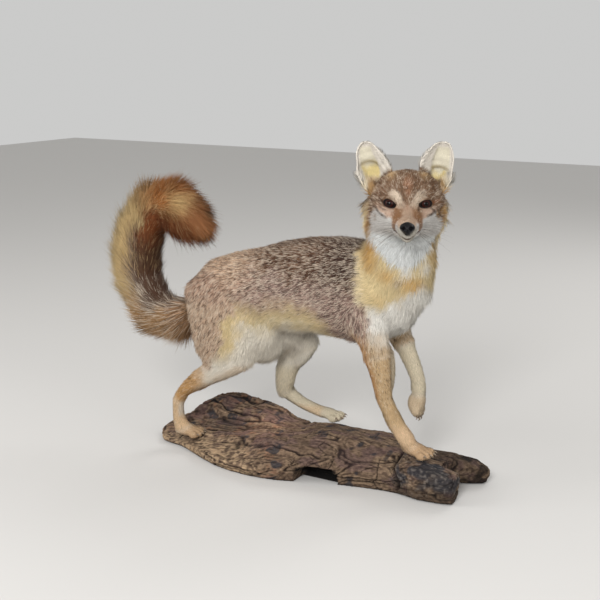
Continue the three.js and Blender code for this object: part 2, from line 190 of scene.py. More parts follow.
def copy_of(nodes, name):
    """One new object from copies of CAD nodes, each merged into a closed mesh."""
    copies = [new_piece(node + "_copy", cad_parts[node].data.copy()) for node in nodes]
    piece = joined(name, *copies)
    piece.data.materials.clear()
    return edit(piece, bpy.ops.mesh.remove_doubles, threshold=MERGE)


def modify(piece, kind, **settings):
    """Adds a modifier with these settings and applies it."""
    alone(piece)
    modifier = piece.modifiers.new(kind.lower(), kind)
    for key, value in settings.items():
        setattr(modifier, key, value)
    bpy.ops.object.modifier_apply(modifier=modifier.name)
    return piece


def remesh(piece, size):
    return modify(piece, "REMESH", mode="VOXEL", voxel_size=size, use_smooth_shade=True)


def sphere(name, segments, rings, radius=1.0, at=(0, 0, 0), turn=(0, 0, 0), sizes=(1, 1, 1)):
    bpy.ops.object.select_all(action="DESELECT")
    bpy.ops.mesh.primitive_uv_sphere_add(
        segments=segments, ring_count=rings, radius=radius, location=at, rotation=turn, scale=sizes
    )
    bpy.ops.object.transform_apply(location=True, rotation=True, scale=True)
    return named(bpy.context.object, name)


def read(items, key, width, kind=np.float32):
    """One property of all these mesh items, as an array with a row for each item."""
    flat = np.empty(len(items) * width, kind)
    items.foreach_get(key, flat)
    return flat.reshape(-1, width)


def points_of(piece):
    return read(piece.data.vertices, "co", 3).astype(float)


def normals_of(piece):
    return read(piece.data.vertex_normals, "vector", 3).astype(float)


def edges_of(piece):
    return read(piece.data.edges, "vertices", 2, np.int32)


def set_points(piece, points):
    piece.data.vertices.foreach_set("co", points.astype(np.float32).ravel())
    piece.data.update()


def smoothed(values, edges, rounds, share=0.5):
    """Averages values with their neighbours' over a mesh, again and again."""
    count = len(values)
    degree = np.bincount(edges.ravel(), minlength=count).clip(1)
    columns = values.reshape(count, -1).astype(float)
    for _ in range(rounds):
        around = np.empty_like(columns)
        for c in range(columns.shape[1]):
            around[:, c] = np.bincount(edges[:, 0], columns[edges[:, 1], c], count)
            around[:, c] += np.bincount(edges[:, 1], columns[edges[:, 0], c], count)
        columns += (around / degree[:, None] - columns) * share
    return columns.reshape(values.shape)


def tree_of(piece):
    """A search tree over a piece's triangles."""
    piece.data.calc_loop_triangles()
    corners = [v.co.copy() for v in piece.data.vertices]
    return BVHTree.FromPolygons(corners, [tuple(t.vertices) for t in piece.data.loop_triangles])


def new_curve(name, radius=0.0, sides=0):
    """An empty curve in space, round with this radius."""
    curve = bpy.data.curves.new(name, "CURVE")
    curve.dimensions = "3D"
    curve.bevel_depth = radius
    curve.bevel_resolution = sides
    return curve


def add_strand(curve, places, radii):
    """Adds one run of straight lines through places, with its share of the curve's radius at each."""
    spline = curve.splines.new("POLY")
    spline.points.add(len(places) - 1)
    for point, place, radius in zip(spline.points, places, radii):
        point.co = (*place, 1)
        point.radius = radius


def meshed(name, curve):
    """A new object from a curve, turned into a mesh."""
    alone(new_piece(name, curve))
    bpy.ops.object.convert(target="MESH")
    return named(bpy.context.object, name)


# ---------- camera, lights and floor ----------
CAMERA_AT = Vector((0.75905, -1.34716, 0.62070))
CAMERA_AHEAD = Vector((-0.4907, 0.8409, -0.2280))
SENSOR = 36.0
LENS = SENSOR * 1077.6 / 600  # the focal length is 1077.6 px on a frame 600 px wide
# Each light: its place, the place it faces, its disk's width and its power.
LIGHTS = {
    "key": ((0.6, -2.0, 1.4), (0, 0, 0.25), 0.8, 42),
    "side": ((2.0, -0.7, 1.0), (0, 0, 0.3), 0.9, 5),
    "fill": ((-1.7, -1.2, 1.2), (0, 0, 0.25), 1.2, 14),
    "rear": ((0.5, 1.8, 1.6), (0, 0, 0.25), 1.2, 12),
}
SKY = {"Color": (0.93, 0.93, 0.92, 1), "Strength": 0.64}
FLOOR_COLOUR = (0.60, 0.585, 0.565, 1)
FLOOR_BELOW = 0.0003  # how far the floor lies under the driftwood


def looking(way):
    """The turn of a camera or a light that looks this way."""
    return way.to_track_quat("-Z", "Y").to_euler()


def camera_and_lights():
    camera = new_piece("camera", bpy.data.cameras.new("camera"))
    camera.location = CAMERA_AT
    camera.rotation_euler = looking(CAMERA_AHEAD)
    camera.data.sensor_width = SENSOR
    camera.data.lens = LENS
    camera.data.clip_start = 0.05
    bpy.context.scene.camera = camera
    for name, (place, target, width, power) in LIGHTS.items():
        light = new_piece(name, bpy.data.lights.new(name, "AREA"))
        light.data.shape = "DISK"
        light.data.size = width
        light.data.energy = power
        light.location = place
        light.rotation_euler = looking(Vector(target) - Vector(place))

    world = bpy.data.worlds.new("studio")
    world.use_nodes = True
    for socket, value in SKY.items():
        world.node_tree.nodes["Background"].inputs[socket].default_value = value
    bpy.context.scene.world = world
    bpy.context.scene.view_settings.view_transform = "Standard"

    bpy.ops.mesh.primitive_plane_add(size=9, location=(0, 0, -FLOOR_BELOW))
    floor = named(bpy.context.object, "floor")
    pale, shader = finish("pale_floor", 0.8, 0.5)
    shader.inputs["Base Color"].default_value = FLOOR_COLOUR
    floor.data.materials.append(pale)


# ---------- what each part of the flesh is like ----------
# First the coat: depth mm, hair length mm, lift degrees, lock width mm, locks per square centimetre. Then the
# way the hair lies, in the row's frame: forward, left, up.
COAT = {
    "head": ((3.8, 4.8, 24, 0.48, 142), (-1, 0, 0)),
    "lower_jaw": ((2.0, 4.0, 20, 0.6, 130), (-1, 0, 0)),
    "neck": ((9.5, 17.0, 25, 0.85, 96), (-0.35, 0, -0.94)),
    "trunk": ((5.5, 9.0, 26, 0.75, 63), (-1, 0, -0.3)),
    "thigh_left": ((5.5, 12.5, 24, 0.85, 54), (-0.15, 0, -1)),
    "thigh_right": ((5.5, 10.0, 25, 0.75, 66), (-0.35, 0, -1)),
    "shin_left": ((3.2, 8.0, 20, 0.8, 62), (-0.3, 0, -1)),
    "shin_right": ((3.2, 8.0, 20, 0.8, 66), (-0.9, 0, -0.55)),
    "hock_left": ((2.0, 5.0, 18, 0.7, 62), (0.9, 0, -0.35)),
    "hock_right": ((2.0, 5.0, 18, 0.7, 66), (-0.05, 0, -1)),
    "upper_arm_left": ((4.5, 10.0, 22, 0.85, 62), (0.3, 0, -1)),
    "upper_arm_right": ((4.5, 10.0, 22, 0.85, 66), (0.2, 0, -1)),
    "forearm_left": ((2.2, 5.5, 20, 0.7, 62), (0.4, 0, -1)),
    "forearm_right": ((2.2, 5.5, 20, 0.7, 68), (0.35, 0.1, -1)),
    "paw_hind_left": ((1.2, 3.2, 20, 0.6, 75), (1, -0.05, -0.25)),
    "paw_hind_right": ((1.2, 3.2, 20, 0.6, 80), (1, 0.15, -0.25)),
    "paw_fore_left": ((1.2, 3.2, 20, 0.6, 75), (0.15, 0, -1)),
    "paw_fore_right": ((1.2, 3.2, 20, 0.6, 80), (1, -0.15, -0.3)),
    "ear_left": ((0.6, 2.4, 22, 0.45, 95), (0, 0, 1)),
    "ear_right": ((0.6, 2.4, 22, 0.45, 95), (0, 0, 1)),
    "tail_root": ((0.0, 33.0, 36, 1.0, 96), (-1, 0, 0)),
    "tail_middle": ((0.0, 38.0, 38, 1.0, 98), (0, 0, 1)),
    "tail_tip": ((0.0, 33.0, 36, 1.0, 104), (1, 0, 0)),
}
COAT_TABLE = np.array([COAT[node][0] for node in FLESH_NODES], float)
LIE_TABLE = unit(np.array([COAT[node][1] for node in FLESH_NODES], float))

# The middle line of the tail, from its root round to its tip, in millimetres.
TAIL_LINE = [
    (-214, 228), (-250, 208), (-290, 212), (-320, 248), (-326, 292), (-318, 334), (-292, 372), (-256, 384),
    (-224, 370), (-205, 352),
]
TAIL_HEART = (-245.0, 300.0)  # the middle of the tail's curl
TAIL_PULL = 0.52  # how far the tail's skin draws in from the brush's outline to its middle line


def tail_path():
    """Close-set points and directions along the middle of the tail, from a curve through its line."""
    curve = new_curve("tail_line")
    spline = curve.splines.new("BEZIER")
    spline.bezier_points.add(len(TAIL_LINE) - 1)
    for point, (x, z) in zip(spline.bezier_points, TAIL_LINE):
        point.co = (x * MM, 0, z * MM)
        point.handle_left_type = "AUTO"
        point.handle_right_type = "AUTO"
    curve.resolution_u = 24
    line = meshed("tail_line", curve)
    places = points_of(line)
    bpy.data.objects.remove(line)
    return places, unit(np.gradient(places, axis=0))


TAIL_PLACES, TAIL_RUN = tail_path()


def along_tail(points):
    """For each place, the nearest index on the tail's middle line."""
    best = np.empty(len(points), int)
    batch = 20000
    for start in range(0, len(points), batch):
        part = points[start : start + batch]
        best[start : start + batch] = ((part[:, None] - TAIL_PLACES[None]) ** 2).sum(2).argmin(1)
    return best


def tail_place(points):
    """How far each place lies inward of the tail's middle line, in mm, and how far along it, 0 to 1."""
    at = along_tail(points)
    towards = unit(np.array(TAIL_HEART) - TAIL_PLACES[at][:, [0, 2]] / MM)
    inward = ((points - TAIL_PLACES[at])[:, [0, 2]] / MM * towards).sum(1)
    return inward, at / (len(TAIL_PLACES) - 1)


# ---------- which node each place belongs to ----------
def flesh_tree():
    corners, faces, owners = [], [], []
    for index, node in enumerate(FLESH_NODES):
        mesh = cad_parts[node].data
        base = len(corners)
        corners.extend(v.co.copy() for v in mesh.vertices)
        faces.extend([base + k for k in face.vertices] for face in mesh.polygons)
        owners.extend([index] * len(mesh.polygons))
    return BVHTree.FromPolygons(corners, faces), np.array(owners)


FLESH_TREE, FLESH_OWNER = flesh_tree()


def shares_of(points, edges, rounds):
    """How much of each flesh node there is at each place, blended across the seams."""
    nearest = [FLESH_TREE.find_nearest(Vector(p))[2] for p in points]
    shares = np.zeros((len(points), len(FLESH_NODES)))
    shares[np.arange(len(points)), FLESH_OWNER[nearest]] = 1
    return smoothed(shares, edges, rounds, 0.6)


def share_of(shares, *nodes):
    return shares[:, [FLESH_NODES.index(node) for node in nodes]].sum(1)


# Rows up each ear, in the head's frame: height, inner edge, outer edge, depth of the cup, in millimetres.
EAR_ROWS = {
    1: [
        (4, 32, 44, 2), (13, 27, 51, 3.5), (22, 21, 56.5, 9), (30, 18, 60, 15), (38, 16.5, 61, 16),
        (46, 16.5, 62, 15.5), (55, 18, 62.3, 13), (63, 22, 62.2, 10.5), (70, 27.5, 61, 8.5),
        (75, 32, 59, 6.5), (78.4, 36, 56.4, 4.5), (79.8, 40, 53, 3),
    ],
    -1: [
        (4, 32, 45, 2), (13, 27, 53, 3.5), (22, 22, 60, 9), (30, 19.5, 64, 15), (38, 19, 66.5, 16),
        (46, 20.5, 67.6, 15.5), (54, 24, 68, 13), (62, 31, 68, 10.5), (69, 37, 67.2, 8.5),
        (74.5, 41.5, 65.2, 6.5), (78.0, 45, 63, 4.5), (79.4, 48, 60, 3),
    ],
}
EAR_ROWS = {side: np.array(rows, float) for side, rows in EAR_ROWS.items()}
EAR = {"forward": -24, "shift": -2, "rows": 48, "columns": 40, "thick": 1.7}
EAR_FOLD = {1: 47, -1: 54}  # the height of the arched fold at the middle of each ear


def fold_drop(turn):
    """How far the arched fold of an ear has come down from its middle, at each place across it."""
    return 13 * (turn - 0.1) ** 2, 7 * step(-0.1, -0.8, turn)


def ear_place(placed):
    """How far across the ear each place is, from -1 at the inner edge to 1, and its height over the fold."""
    turn, arch = np.zeros(len(placed)), np.zeros(len(placed))
    for side, rows in EAR_ROWS.items():
        inner, outer = [np.interp(placed[:, 2], rows[:, 0], rows[:, column]) for column in (1, 2)]
        beyond = side * (placed[:, 1] - EAR["shift"]) - (inner + outer) / 2
        this = side * placed[:, 1] > 0
        turn[this] = (beyond / np.maximum((outer - inner) / 2, 3))[this]
        middle_drop, inner_drop = fold_drop(turn)
        arch[this] = (placed[:, 2] - EAR_FOLD[side] + middle_drop + inner_drop)[this]
    return turn, arch


# Soft folds that join neighbouring forms: centre and half sizes, in millimetres.
FOLDS = [((-92, -20, 206), (40, 26, 30)), ((-62, 26, 206), (34, 24, 32)), ((102, -34, 240), (22, 20, 30))]
KNEE = ((-98, -36, 181), (20, 16, 17))
HAIRY_FOLDS = FOLDS[:2] + [KNEE]


def hair(points, normals, shares):
    """Depth, length, lift, width and density of the coat at each place.

    Each mask below is bounded by places in the head's frame, in millimetres, or by shares from 0 to 1.
    """
    table = shares @ COAT_TABLE
    depth, length, lift, width, density = table.T.copy()
    head = share_of(shares, "head", "lower_jaw") > 0.35
    placed = to_head(points)
    x, y, z = placed.T
    side = np.abs(y)
    muzzle = step(12, 26, x) * head
    cheek = step(22, 38, side) * step(14, -14, x) * step(14, -6, z) * head
    ruff = step(38, 54, side) * step(-16, -40, x) * head
    chin = step(-34, -42, z) * step(34, 6, x) * head
    crown = step(2, -24, x) * step(16, 24, z) * head
    eye_gap = np.sqrt((x - 8) ** 2 + (side - 23) ** 2 + (z - 1) ** 2)
    cheek_gap = np.sqrt(((side - 30) / 14) ** 2 + ((z + 10) / 8) ** 2)
    by_eye = np.maximum(step(14, 10, eye_gap), step(1.15, 0.75, cheek_gap) * step(-12, -4, x)) * head
    fold = np.zeros(len(x))
    for at, sizes in HAIRY_FOLDS:
        fold = np.maximum(fold, step(1.0, 0.6, egg_gap(points / MM, at, np.array(sizes) * 1.5)))
    belly = share_of(shares, "trunk") * step(-0.35, -0.8, normals[:, 2])
    nape = head * step(0.1, 0.6, nape_facing(points, normals)) * step(-24, -40, x)
    inward, run = tail_place(points)
    tail = share_of(shares, *TAIL_NODES)
    inner_tail = tail * step(2, 10, inward) * step(0.72, 0.6, run)
    under_tip = tail * step(0, 8, inward) * step(0.66, 0.78, run) * step(1.0, 0.9, run)
    turn, _ = ear_place(placed)
    ear = step(0.2, 0.6, share_of(shares, *EAR_NODES))
    helix = step(-0.2, -0.5, turn) * ear * step(76, 66, z)
    outer_tuft = step(0.3, 0.7, turn) * ear * step(12, 20, z) * step(40, 32, z)
    ear_foot = ear * step(28, 20, z)
    for mask, new in (
        (crown, (3.9, 5.0, 26, 0.46, 140)),
        (cheek, (8.0, 12.0, 27, 0.8, 105)),
        (ruff, (11.0, 21.0, 38, 0.9, 95)),
        (chin, (6.0, 11.0, 27, 0.8, 105)),
        (belly, (4.0, 14.0, 30, 0.85, 62)),
        (nape, (8.0, 14.0, 26, 0.8, 100)),
        (inner_tail, (0.0, 27.0, 32, 1.0, 100)),
        (under_tip, (0.0, 40.0, 52, 1.0, 104)),
        (fold, (5.0, 16.0, 27, 0.85, 72)),
        (muzzle, (1.5, 2.4, 18, 0.5, 190)),
        (by_eye, (1.3, 3.0, 22, 0.45, 185)),
        (helix, (0.6, 7.0, 32, 0.45, 170)),
        (outer_tuft, (0.8, 11.0, 32, 0.5, 150)),
        (ear_foot, (1.0, 10.0, 32, 0.55, 150)),
    ):
        for column, value in zip((depth, length, lift, width, density), new):
            column += (value - column) * mask
    length *= 1 - 0.5 * head * step(5, 2, mouth_gap(placed))
    return depth, length, lift, width, density


# ---------- the skin ----------
SKIN_GRID = 3.0 * MM  # cell size of the first mesh of the flesh
FINE_GRID = 2.6 * MM  # cell size of the finished skin
# Changes to the face: centre in the head's frame, half sizes, and how far it rises, in millimetres.
FACE_FORMS = [
    ((2, 16, 13), (10, 12, 8), 1.8),
    ((6, 0, 12), (16, 5, 16), -1.3),
    ((-4, 36, -10), (16, 12, 12), 1.5),
    ((17, 17, -9), (9, 7, 9), -1.8),
    ((56, 8, -27), (11, 7, 7), 1.7),
    ((34, 18, -18), (13, 7, 9), -1.2),
    ((66, 0, -34), (6, 2.2, 7), -1.6),
    ((58, 0, -40), (10, 9, 7), 1.6),
    ((44, 0, -10), (18, 6, 6), 0.9),
]
# Fuller fur at the near knee and shin, the far thigh and shin and both forelegs: centre and half sizes in
# millimetres, and degrees of tilt.
FILLED = [
    ((-98, -33, 166), (23, 12, 10), -39),
    ((-75, 40, 126), (18.5, 14, 46), 11),
    ((-38, 40, 172), (16, 14, 40), 29),
    ((-186, -33, 115), (38, 12, 15.5), -30),
    ((121, -18, 174), (19, 14, 50), 0),
    ((138, -17, 103), (14, 12, 27), -28),
    ((145, 42, 112), (12.5, 12, 18), 0),
]
CHIN = ((47, 0, -37.5), (13, 9.5, 7.5))


def drawn_in_tail():
    """The tail's core, drawn in towards its middle line."""
    core = copy_of(TAIL_NODES, "tail_core")
    places = points_of(core)
    line = TAIL_PLACES[along_tail(places)]
    _, run = tail_place(places)
    pull = TAIL_PULL + 0.25 * step(0.82, 1.0, run)
    set_points(core, places + (line - places) * pull[:, None])
    return core


def press(points, normals, centre, sizes, amount):
    """Raises or sinks an egg-shaped area of the face, on both sides if its centre is off the middle."""
    placed = to_head(points)
    for side in (1, -1) if centre[1] else (1,):
        gap = egg_gap(placed, np.array(centre) * (1, side, 1), sizes)
        points = points + normals * (step(1, 0, gap) * amount * MM)[:, None]
    return points


def soft_forms():
    """Rounded forms that fill the flank folds, the legs and the chin."""
    turn = math.atan2(HEAD_FORWARD.y, HEAD_FORWARD.x)
    forms = [(np.array(at) * MM, sizes, (0, 0, 0)) for at, sizes in FOLDS]
    forms += [(np.array(at) * MM, sizes, (0, math.radians(tilt), 0)) for at, sizes, tilt in FILLED]
    forms.append((from_head(CHIN[0]), CHIN[1], (0, 0, turn)))
    return [sphere("soft_form", 24, 16, 1, at, turned, np.array(sizes) * MM) for at, sizes, turned in forms]


def skin_mesh():
    """The flesh and its soft forms as one mesh, sunk by the depth of the coat."""
    skin = copy_of(CORE_NODES + ["eye_left", "eye_right"], "fox_skin")
    skin = joined("fox_skin", skin, drawn_in_tail(), *soft_forms())
    remesh(skin, SKIN_GRID)
    points, edges = points_of(skin), edges_of(skin)
    shares = shares_of(points, edges, 4)
    depth = smoothed(hair(points, normals_of(skin), shares)[0] * MM, edges, 10)
    rounds = 6
    for _ in range(rounds):
        points = points_of(skin) - normals_of(skin) * (depth / rounds)[:, None]
        calm = smoothed(points, edges, 1)
        points += (calm - points) * np.clip(depth / (8 * MM), 0.05, 0.6)[:, None]
        set_points(skin, points)
    remesh(skin, FINE_GRID)
    points, edges = points_of(skin), edges_of(skin)
    calm = smoothed(points, edges, 60)
    gaps = [egg_gap(points / MM, at, np.array(sizes) * 1.7) for at, sizes in FOLDS]
    share = step(1.0, 0.6, np.min(gaps, axis=0))
    set_points(skin, points + (calm - points) * share[:, None])
    return skin


# ---------- lids, mouth line and ears, joined to the skin ----------
LID = {"long": 8.4, "upper": 5.1, "lower": 4.3, "around": 56}
LID_TILT = {1: 13, -1: 24}  # degrees by which the outer corner stands above the inner, left and right
GAZE = {"out": 12, "up": 9}  # degrees by which the eyes look outward and upward
LID_START = 40  # millimetres ahead of an eye, from where the lid's rings look back for the skin
# Each ring of the lid: mm out from its rim, radius over the eyeball, share of the way to the skin.
LID_RINGS = [
    (-0.2, 8.6, 0),
    (0.0, 9.3, 0),
    (0.4, 9.95, 0),
    (1.1, 10.15, 0),
    (2.0, 10.05, 0),
    (3.0, 9.7, 0.15),
    (4.2, 9.9, 0.45),
    (5.6, 10.0, 0.75),
    (7.4, 10.0, 0.95),
    (9.4, 10.0, 1.0),
]


def eye_axes(side):
    """The eye's centre, and its outward, upward and gazing directions, in the head's frame."""
    centre = np.array([EYE["forward"], side * EYE["apart"] / 2, EYE["up"]])
    out, up = np.radians(GAZE["out"]), np.radians(GAZE["up"])
    gaze = np.array([math.cos(out) * math.cos(up), side * math.sin(out) * math.cos(up), math.sin(up)])
    outer = np.array([0.0, side, 0.0])
    outer = unit(outer - gaze * (outer @ gaze))
    above = np.cross(gaze, outer) * side
    tilt = np.radians(LID_TILT[side])
    tilted = outer * math.cos(tilt) + above * math.sin(tilt)
    return centre, tilted, np.cross(gaze, tilted) * side, gaze


def from_eye(placed, side):
    """How far each place in the head's frame is outward, above and ahead of an eye's centre."""
    centre, outer, above, gaze = eye_axes(side)
    offset = placed - centre
    return offset @ outer, offset @ above, offset @ gaze


def lid_rim(angle):
    """The almond between the lids, in millimetres over the eyeball: outward and up."""
    wide = LID["long"] * np.cos(angle)
    high = np.where(np.sin(angle) > 0, LID["upper"], LID["lower"])
    return wide, high * np.sign(np.sin(angle)) * np.abs(np.sin(angle)) ** 1.25


def lid(tree, side):
    """Both lids of one eye as a ring of skin, from the rim over the eyeball out to the cheek."""
    centre, outer, above, gaze = eye_axes(side)
    angle = np.linspace(0, 2 * math.pi, LID["around"], endpoint=False)
    wide, high = lid_rim(angle)
    reach = np.hypot(wide, high)
    way = unit(np.stack([wide, high * 1.2], 1))
    rows = []
    for out, radius, share in LID_RINGS:
        turn = (reach + np.minimum(out, 2.0)) / EYE["radius"]
        flat = np.sin(np.minimum(turn, 1.45)) * radius
        beyond = max(out - 2.0, 0)
        u = wide / reach * flat + way[:, 0] * beyond
        v = high / reach * flat + way[:, 1] * beyond
        swell = np.sqrt(np.maximum(radius**2 - np.minimum(u * u + v * v, (radius * 0.97) ** 2), 0))
        place = centre + outer * u[:, None] + above * v[:, None]
        if share:
            starts = from_head(place + gaze * LID_START)
            aim = Vector(-(gaze @ HEAD_AXES))
            hits = [tree.ray_cast(Vector(s), aim) for s in starts]
            depth = np.array([LID_START - hit[3] / MM if hit[3] else 0 for hit in hits])
            sunk = 1.3 * step(0.9, 1.0, share)
            swell = swell + (depth - sunk - swell) * share
        row = from_head(place + gaze * swell[:, None])
        # the grid's rows run round the eye, and its first and last columns meet
        rows.append(np.vstack([row, row[:1]]))
    bpy.ops.mesh.primitive_grid_add(x_subdivisions=LID["around"], y_subdivisions=len(LID_RINGS) - 1)
    ring = named(bpy.context.object, "lid")
    set_points(ring, np.vstack(rows))
    edit(ring, bpy.ops.mesh.remove_doubles, threshold=MERGE)
    face_outwards(ring, from_head(centre))
    return ring


def face_outwards(piece, from_place):
    """Turns an open sheet's faces so that they look away from a place."""
    mesh = piece.data
    total = sum(face.normal.dot(face.center - Vector(from_place)) * face.area for face in mesh.polygons)
    if total < 0:
        mesh.flip_normals()
    mesh.update()


def sink_sockets(skin):
    """Draws the skin in behind the eyeballs and under the lids."""
    placed = to_head(points_of(skin))
    for side in (1, -1):
        wide, high, deep = from_eye(placed, side)
        gaze = eye_axes(side)[3]
        gap = np.hypot(wide / 1.25, high)
        ahead = step(-6, 0, deep)
        placed -= gaze * (step(11.5, 7.0, gap) * ahead * np.maximum(deep + 2, 0))[:, None]
        placed -= gaze * (step(14, 11, gap) * ahead * 1.2)[:, None]
    set_points(skin, from_head(placed))


# The line of the mouth, from under the nose to its corner, in the head's frame.
MOUTH_LINE = [
    (63.5, 0, -40), (62, 4, -39.6), (58.5, 9, -38), (51, 12.5, -36.4), (42, 16, -34.4), (32, 19, -33.6),
    (23, 21, -33.8),
]
MOUTH = {"line": np.array(MOUTH_LINE, float)}
MOUTH_RADIUS = 0.75 * MM


def mouth_gap(placed):
    """Millimetres from each place in the head's frame to the line of the mouth."""
    line = MOUTH["line"]
    mirrored = placed * (1, 0, 1) + np.abs(placed) * (0, 1, 0)
    gap = np.full(len(placed), 99.0)
    for start, end in zip(line[:-1], line[1:]):
        gap = np.minimum(gap, line_gap(mirrored, start, end))
    return gap


def settle_mouth(tree):
    """Moves the line of the mouth on to the skin."""
    found = [tree.find_nearest(Vector(place))[0] for place in from_head(MOUTH["line"])]
    MOUTH["line"] = to_head(np.array(found))


def mouth_lines(tree):
    """A thin tapered roll along both halves of the mouth."""
    half = MOUTH["line"]
    both = np.vstack([half[:0:-1] * (1, -1, 1), half])
    places = []
    for place in from_head(both):
        hit, normal, _, _ = tree.find_nearest(Vector(place))
        places.append(np.array(hit + normal * 0.15 * MM))
    fine = np.linspace(0, len(places) - 1, 60)
    places = np.array(places)
    line = np.stack([np.interp(fine, np.arange(len(places)), places[:, a]) for a in range(3)], 1)
    curve = new_curve("mouth_line", MOUTH_RADIUS, 1)
    curve.use_fill_caps = True
    add_strand(curve, line, np.clip(np.minimum(fine, fine[::-1]) / 2.5, 0.3, 1))
    return meshed("mouth_line", curve)


def ear_sheet(side):
    """One ear as a cupped sheet with its folds, open to the front."""
    bpy.ops.object.select_all(action="DESELECT")
    bpy.ops.mesh.primitive_grid_add(x_subdivisions=EAR["columns"], y_subdivisions=EAR["rows"])
    ear = named(bpy.context.object, "ear_sheet")
    rows = EAR_ROWS[side]
    climb = np.linspace(0, 1, EAR["rows"] + 1)
    stations = np.linspace(0, 1, len(rows))
    columns = [np.interp(climb, stations, rows[:, column]) for column in range(4)]
    weights = [0.1, 0.2, 0.4, 0.2, 0.1]
    columns[1:] = [np.convolve(np.pad(v, 2, mode="edge"), weights, "valid") for v in columns[1:]]
    across = EAR["columns"] + 1
    z, inner, outer, depth = [np.repeat(v, across) for v in columns]
    turn = np.tile(np.linspace(-1, 1, across), EAR["rows"] + 1)
    share = (z - 4) / 75
    # an arched ledge crosses the cup: the lobe above it stands forward and the cup below it sinks
    middle_drop, inner_drop = fold_drop(turn)
    above = z - (EAR_FOLD[side] - middle_drop - inner_drop)
    inside = step(0.98, 0.7, np.abs(turn))
    ledge = 2.0 * step(-3, 2.5, above) * step(22, 4, above)
    ledge = ledge - 2.2 * step(2, -4, above) * step(-22, -5, above)
    flap = 3.0 * step(-0.25, -0.6, turn) * step(10, 30, z) * step(76, 60, z)
    rib = 1.5 * np.exp(-(((turn - 0.5 - share * 0.2) / 0.12) ** 2)) * step(14, 30, z) * step(66, 50, z)
    ripple = 0.7 * np.sin(z * 0.55 + turn * 3) * step(2, 10, above) * step(24, 10, above)
    ripple += 0.6 * np.sin(z * 0.8 - turn * 4) * step(-3, -8, above) * step(-22, -10, above)
    cup = np.maximum(depth - 0.8 - (ledge + flap + rib + ripple) * inside, 0.6)
    # the cup is round towards the outer edge and slants up towards the inner one
    bend = turn * math.pi / 2
    hollow = np.where(turn > 0, np.cos(bend), 1 - np.abs(turn) ** 1.5)
    aside = np.where(turn > 0, np.sin(bend), turn)
    roll = step(0.82, 1.0, np.abs(turn)) * step(14, 30, z) * step(80, 70, z)
    ahead = EAR["forward"] - cup * hollow + 6 * share + 0.5 * roll
    middle, width = (inner + outer) / 2, (outer - inner) / 2 - 0.8
    wave = 0.6 * np.sin(z * 0.23 + side) * step(0.8, 1, np.abs(turn))
    lateral = side * (middle + (width + wave) * aside) + EAR["shift"]
    lift = (1 - np.abs(turn) ** 2) * step(60, 79, z)
    set_points(ear, from_head(np.stack([ahead, lateral, z + lift], 1)))
    face_outwards(ear, from_head((60, side * 44, 40)))
    modify(ear, "SOLIDIFY", thickness=EAR["thick"] * MM, offset=0.0, use_even_offset=False)
    bpy.ops.object.shade_smooth()
    return ear


def subdivide_where(piece, chosen):
    """Splits the faces whose corners are all chosen."""
    mesh = piece.data
    alone(piece)
    mesh.polygons.foreach_set("select", [False] * len(mesh.polygons))
    mesh.edges.foreach_set("select", [False] * len(mesh.edges))
    mesh.vertices.foreach_set("select", chosen.tolist())
    bpy.ops.object.mode_set(mode="EDIT")
    bpy.ops.mesh.select_mode(type="VERT")
    bpy.ops.mesh.subdivide(number_cuts=1)
    bpy.ops.object.mode_set(mode="OBJECT")


# Where each paw is, in millimetres: place, heading, length, half width, half height, turn of the toes down.
PAWS = {
    "paw_hind_right": ((-215, -31, 27), 10, 36, 15, 12, 0),
    "paw_hind_left": ((-3, 47, 68), -4, 36, 15, 10, 0),
    "paw_fore_right": ((174, -17, 64), -10, 38, 15, 12, 0),
    "paw_fore_left": ((151, 42, 116), 0, 36, 13, 11, 0.46 * math.pi),
}
TOES = (-1.5, -0.5, 0.5, 1.5)  # the toes' places across a paw
TOE_SPREAD = 0.56  # the gap between toes, as a share of the paw's half width


def paw_axes(paw):
    """A paw's place, and its ways ahead, left and up."""
    place, heading, _, _, _, drop = PAWS[paw]
    turn = math.radians(heading)
    ahead = np.array([math.cos(turn) * math.cos(drop), math.sin(turn) * math.cos(drop), -math.sin(drop)])
    left = np.array([-math.sin(turn), math.cos(turn), 0])
    return np.array(place, float), ahead, left, np.cross(ahead, left)


def toe_places(points, paw):
    """Places in a paw's own frame, in millimetres: ahead, left and up."""
    at, ahead, left, above = paw_axes(paw)
    return (points / MM - at) @ np.array([ahead, left, above]).T


def part_toes(points, normals):
    """Sinks a cleft between each pair of toes and rounds the pads between them."""
    for paw, (_, _, length, wide, _, _) in PAWS.items():
        placed = toe_places(points, paw)
        for k in (-1, 0, 1):
            gap = egg_gap(placed, (length * 0.56, k * wide * TOE_SPREAD, 0), (14, 2.6, 13))
            points = points - normals * (step(1, 0, gap) * 2.6 * MM)[:, None]
        for k in TOES:
            centre = (length * (0.62 - 0.07 * abs(k) ** 1.6), k * wide * TOE_SPREAD, 1)
            gap = egg_gap(placed, centre, (10, 4.5, 9))
            points = points + normals * (step(1, 0, gap) * 0.8 * MM)[:, None]
    return points


